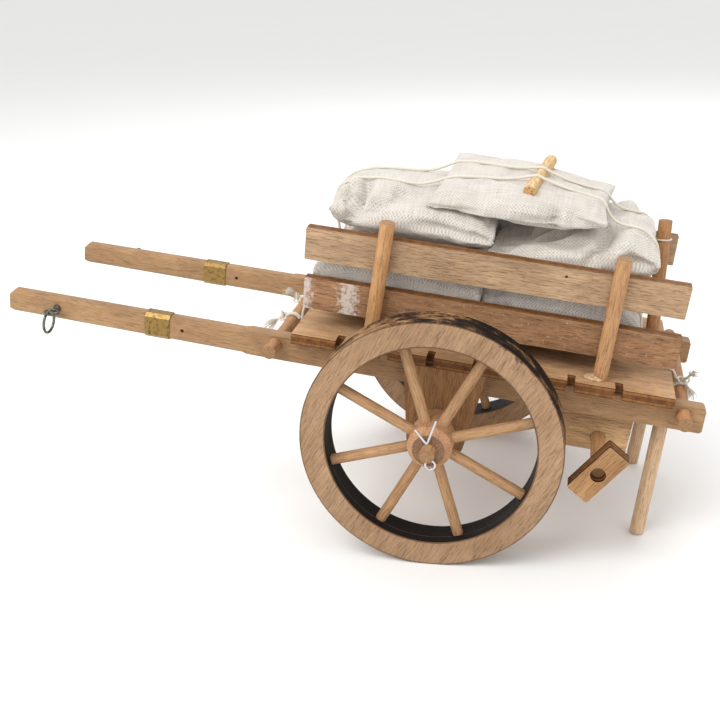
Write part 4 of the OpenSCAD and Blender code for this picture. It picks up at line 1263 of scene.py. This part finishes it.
class BUILD_OT_lashing(BuildPiece, bpy.types.Operator):
    """Ties the load down with two cotton cords, their knots and frayed ends"""

    bl_idname = "handcart.lashing"
    bl_label = "Lashing"

    def execute(self, context):
        load = context.scene.cart_load
        r = load.cord_width / 2
        trees = []
        for points, faces in _sacks.values():
            trees.append(BVHTree.FromPolygons(points, faces))
        for node, route in (("lashing_near", NEAR_START + NEAR_ROUTE + NEAR_END),
                            ("lashing_far", FAR_START + FAR_ROUTE + FAR_END)):
            points, faces = [], []
            path = walk(laid_over(route, trees, r * 0.5), 0.22)
            twisted(points, faces, path, load.cord_width, load.twist_length)
            cotton_piece(node, points, faces)

        def middle_of(node):
            """The middle of a bar, in cart mm."""
            low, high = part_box(node)
            return CART.inverted() @ ((low + high) / 2) / MM

        def coil(centre, y, start):
            """Two turns of cord round a bar."""
            out = []
            for k in range(49):
                a = start + 2 * math.pi * k / 24
                reach = DOWEL_R + r * 1.05
                out.append(Vector((centre.x + reach * math.cos(a), y + (k / 24 - 1) * r * 2.1,
                                   centre.z + reach * math.sin(a))))
            return walk(out, 0.25)

        def tail(knot, way, length, width):
            """A short twisted end, from the knot to its frayed tuft."""
            twisted(points, faces, walk([knot, knot + way.normalized() * length], 0.25), load.cord_width * width,
                    load.twist_length)

        points, faces = [], []
        bar = middle_of("front_cross_bar")
        for y, seed, up in ((-8, 11, -0.5), (9, 12, 1.1)):
            twisted(points, faces, coil(bar, y, 0.5), load.cord_width, load.twist_length)
            knot = Vector((bar.x - DOWEL_R - r * 2.2, y, bar.z + 0.9))
            turn = Matrix.Rotation(0.6, 3, "Y") @ Matrix.Rotation(0.4, 3, "X")
            tube(points, faces, overhand(knot, 0.62, turn), r * 0.8, 8)
            way = Vector((-1, -0.5, up))
            tail(knot, way, 1.6, 0.95)
            tuft(points, faces, knot + way.normalized() * 1.4, way, 5.0, 0.4, 44, seed, 0.25)
            tuft(points, faces, knot, Vector((-0.4, 1, 0.5)), 3.0, 0.4, 26, seed + 40, 0.3)
        cotton_piece("front_knots", points, faces)

        points, faces = [], []
        bar, y = middle_of("rear_cross_bar"), -11
        twisted(points, faces, coil(bar, y, 1.2), load.cord_width, load.twist_length)
        knot = Vector((bar.x + 0.6, y, bar.z + DOWEL_R + r * 2.0))
        tube(points, faces, overhand(knot, 0.6, Matrix.Rotation(1.2, 3, "X")), r * 0.8, 8)
        for way, seed, length in ((Vector((0.45, -0.5, 1.0)), 21, 6.5), (Vector((0.5, -0.9, -0.2)), 22, 6.0)):
            tail(knot, way, length * 0.5, 0.9)
            tuft(points, faces, knot + way.normalized() * length * 0.45, way, length * 0.6, 0.45, 44, seed, 0.3)
        # One thin turn ties the far cord to its leaning stake.
        tie = Vector(FAR_END[0]) + Vector((1.4, 2.4, -0.5))
        axis = Vector((-0.082, 0.087, 0.993)).normalized()
        side = axis.orthogonal().normalized()
        other = axis.cross(side)
        ring = []
        for k in range(31):
            a = 2 * math.pi * k / 24
            out = (side * math.cos(a) + other * math.sin(a)) * (DOWEL_R + 0.3)
            ring.append(tie + out + axis * (k / 24 - 0.6) * 0.5)
        twisted(points, faces, walk(ring, 0.25), load.cord_width * 0.6, load.twist_length)
        cotton_piece("rear_knots", points, faces)
        return {"FINISHED"}


class BUILD_OT_stage(BuildPiece, bpy.types.Operator):
    """Sets the pale floor, the soft lights and the camera"""

    bl_idname = "handcart.stage"
    bl_label = "Floor, lights and camera"

    def execute(self, context):
        scene, stage = context.scene, context.scene.cart_stage
        # Matt white paper, hardly mottled.
        paper, tree, shader = new_material("floor_paper", 0.9, Specular_IOR_Level=0.1)
        place = put(tree, "TexCoord", out="Object")
        mottle = put(tree, "TexNoise", {"Vector": place, "Scale": 14.0, "Detail": 2.0})
        tone = list(stage.floor_colour)
        tint = put(tree, "ValToRGB", {"Fac": mottle}, stops=[(0.3, shade(tone, 0.99)), (0.7, tone)])
        tree.links.new(tint, shader.inputs["Base Color"])
        reach = 6.0  # metres
        corners = [(-reach, -reach, 0), (reach, -reach, 0), (reach, reach, 0), (-reach, reach, 0)]
        floor = new_object("floor", corners, [(0, 1, 2, 3)])
        floor.data.materials.append(paper)

        world = bpy.data.worlds.new("studio")
        world.use_nodes = True
        sky = world.node_tree.nodes["Background"]
        sky.inputs["Color"].default_value = (1, 1, 1, 1)
        sky.inputs["Strength"].default_value = 0.88
        scene.world = world
        middle = Vector((0.0, 0.0, 0.04))
        # Each lamp's name, place and size in metres, and its share of the key light's power.
        lamps = (
            ("key", (-0.28, -0.42, 0.62), 0.5, 1.0),
            ("fill", (0.55, -0.45, 0.35), 0.6, 0.22),
            ("back", (0.1, 0.55, 0.6), 0.6, 0.5),
        )
        for name, at, size, share in lamps:
            lamp = bpy.data.lights.new(name, "AREA")
            lamp.energy = stage.light_power * share
            lamp.size = size
            lamp_object = bpy.data.objects.new(name, lamp)
            lamp_object.location = at
            lamp_object.rotation_mode = "QUATERNION"
            lamp_object.rotation_quaternion = (middle - Vector(at)).to_track_quat("-Z", "Y")
            scene.collection.objects.link(lamp_object)

        # The camera's place, the point that it looks at and its slight roll.
        place = Vector((65.27, -301.70, 161.00)) * MM
        aim = Vector((-0.16, -1.25, 41.22)) * MM
        roll = math.radians(-2.263)
        ahead = (aim - place).normalized()
        level = ahead.cross(Vector((0, 0, 1))).normalized()
        above = level.cross(ahead)
        right = level * math.cos(roll) + above * math.sin(roll)
        upright = right.cross(ahead)
        lens = bpy.data.cameras.new("camera")
        lens.lens = 53.934
        lens.clip_start, lens.clip_end = 0.01, 50
        camera = bpy.data.objects.new("camera", lens)
        pose = Matrix((right, upright, -ahead)).transposed().to_4x4()
        pose.translation = place
        camera.matrix_world = pose
        scene.collection.objects.link(camera)
        scene.camera = camera
        scene.view_settings.view_transform = "Standard"
        return {"FINISHED"}


PIECES = (
    BUILD_OT_stage, BUILD_OT_shafts, BUILD_OT_ironwork, BUILD_OT_deck, BUILD_OT_sides, BUILD_OT_bars,
    BUILD_OT_brake, BUILD_OT_wheels, BUILD_OT_sacks, BUILD_OT_cane, BUILD_OT_lashing,
)


class VIEW3D_PT_handcart(bpy.types.Panel):
    bl_label = "Hand cart"
    bl_space_type = "VIEW_3D"
    bl_region_type = "UI"
    bl_category = "Hand cart"

    def draw(self, context):
        for group in (context.scene.cart_wood, context.scene.cart_load, context.scene.cart_stage):
            box = self.layout.box()
            for name in group.__annotations__:
                box.prop(group, name)
        for piece in PIECES:
            self.layout.operator(piece.bl_idname)


CLASSES = (CartWood, CartLoad, CartStage, *PIECES, VIEW3D_PT_handcart)


def register():
    for cls in CLASSES:
        bpy.utils.register_class(cls)
    bpy.types.Scene.cart_wood = PointerProperty(type=CartWood)
    bpy.types.Scene.cart_load = PointerProperty(type=CartLoad)
    bpy.types.Scene.cart_stage = PointerProperty(type=CartStage)


def unregister():
    del bpy.types.Scene.cart_wood
    del bpy.types.Scene.cart_load
    del bpy.types.Scene.cart_stage
    for cls in reversed(CLASSES):
        bpy.utils.unregister_class(cls)


def main():
    """Builds every piece in order."""
    register()
    for piece in PIECES:
        group, name = piece.bl_idname.split(".")
        getattr(getattr(bpy.ops, group), name)()
    bpy.context.view_layer.update()


if __name__ == "__main__":
    main()
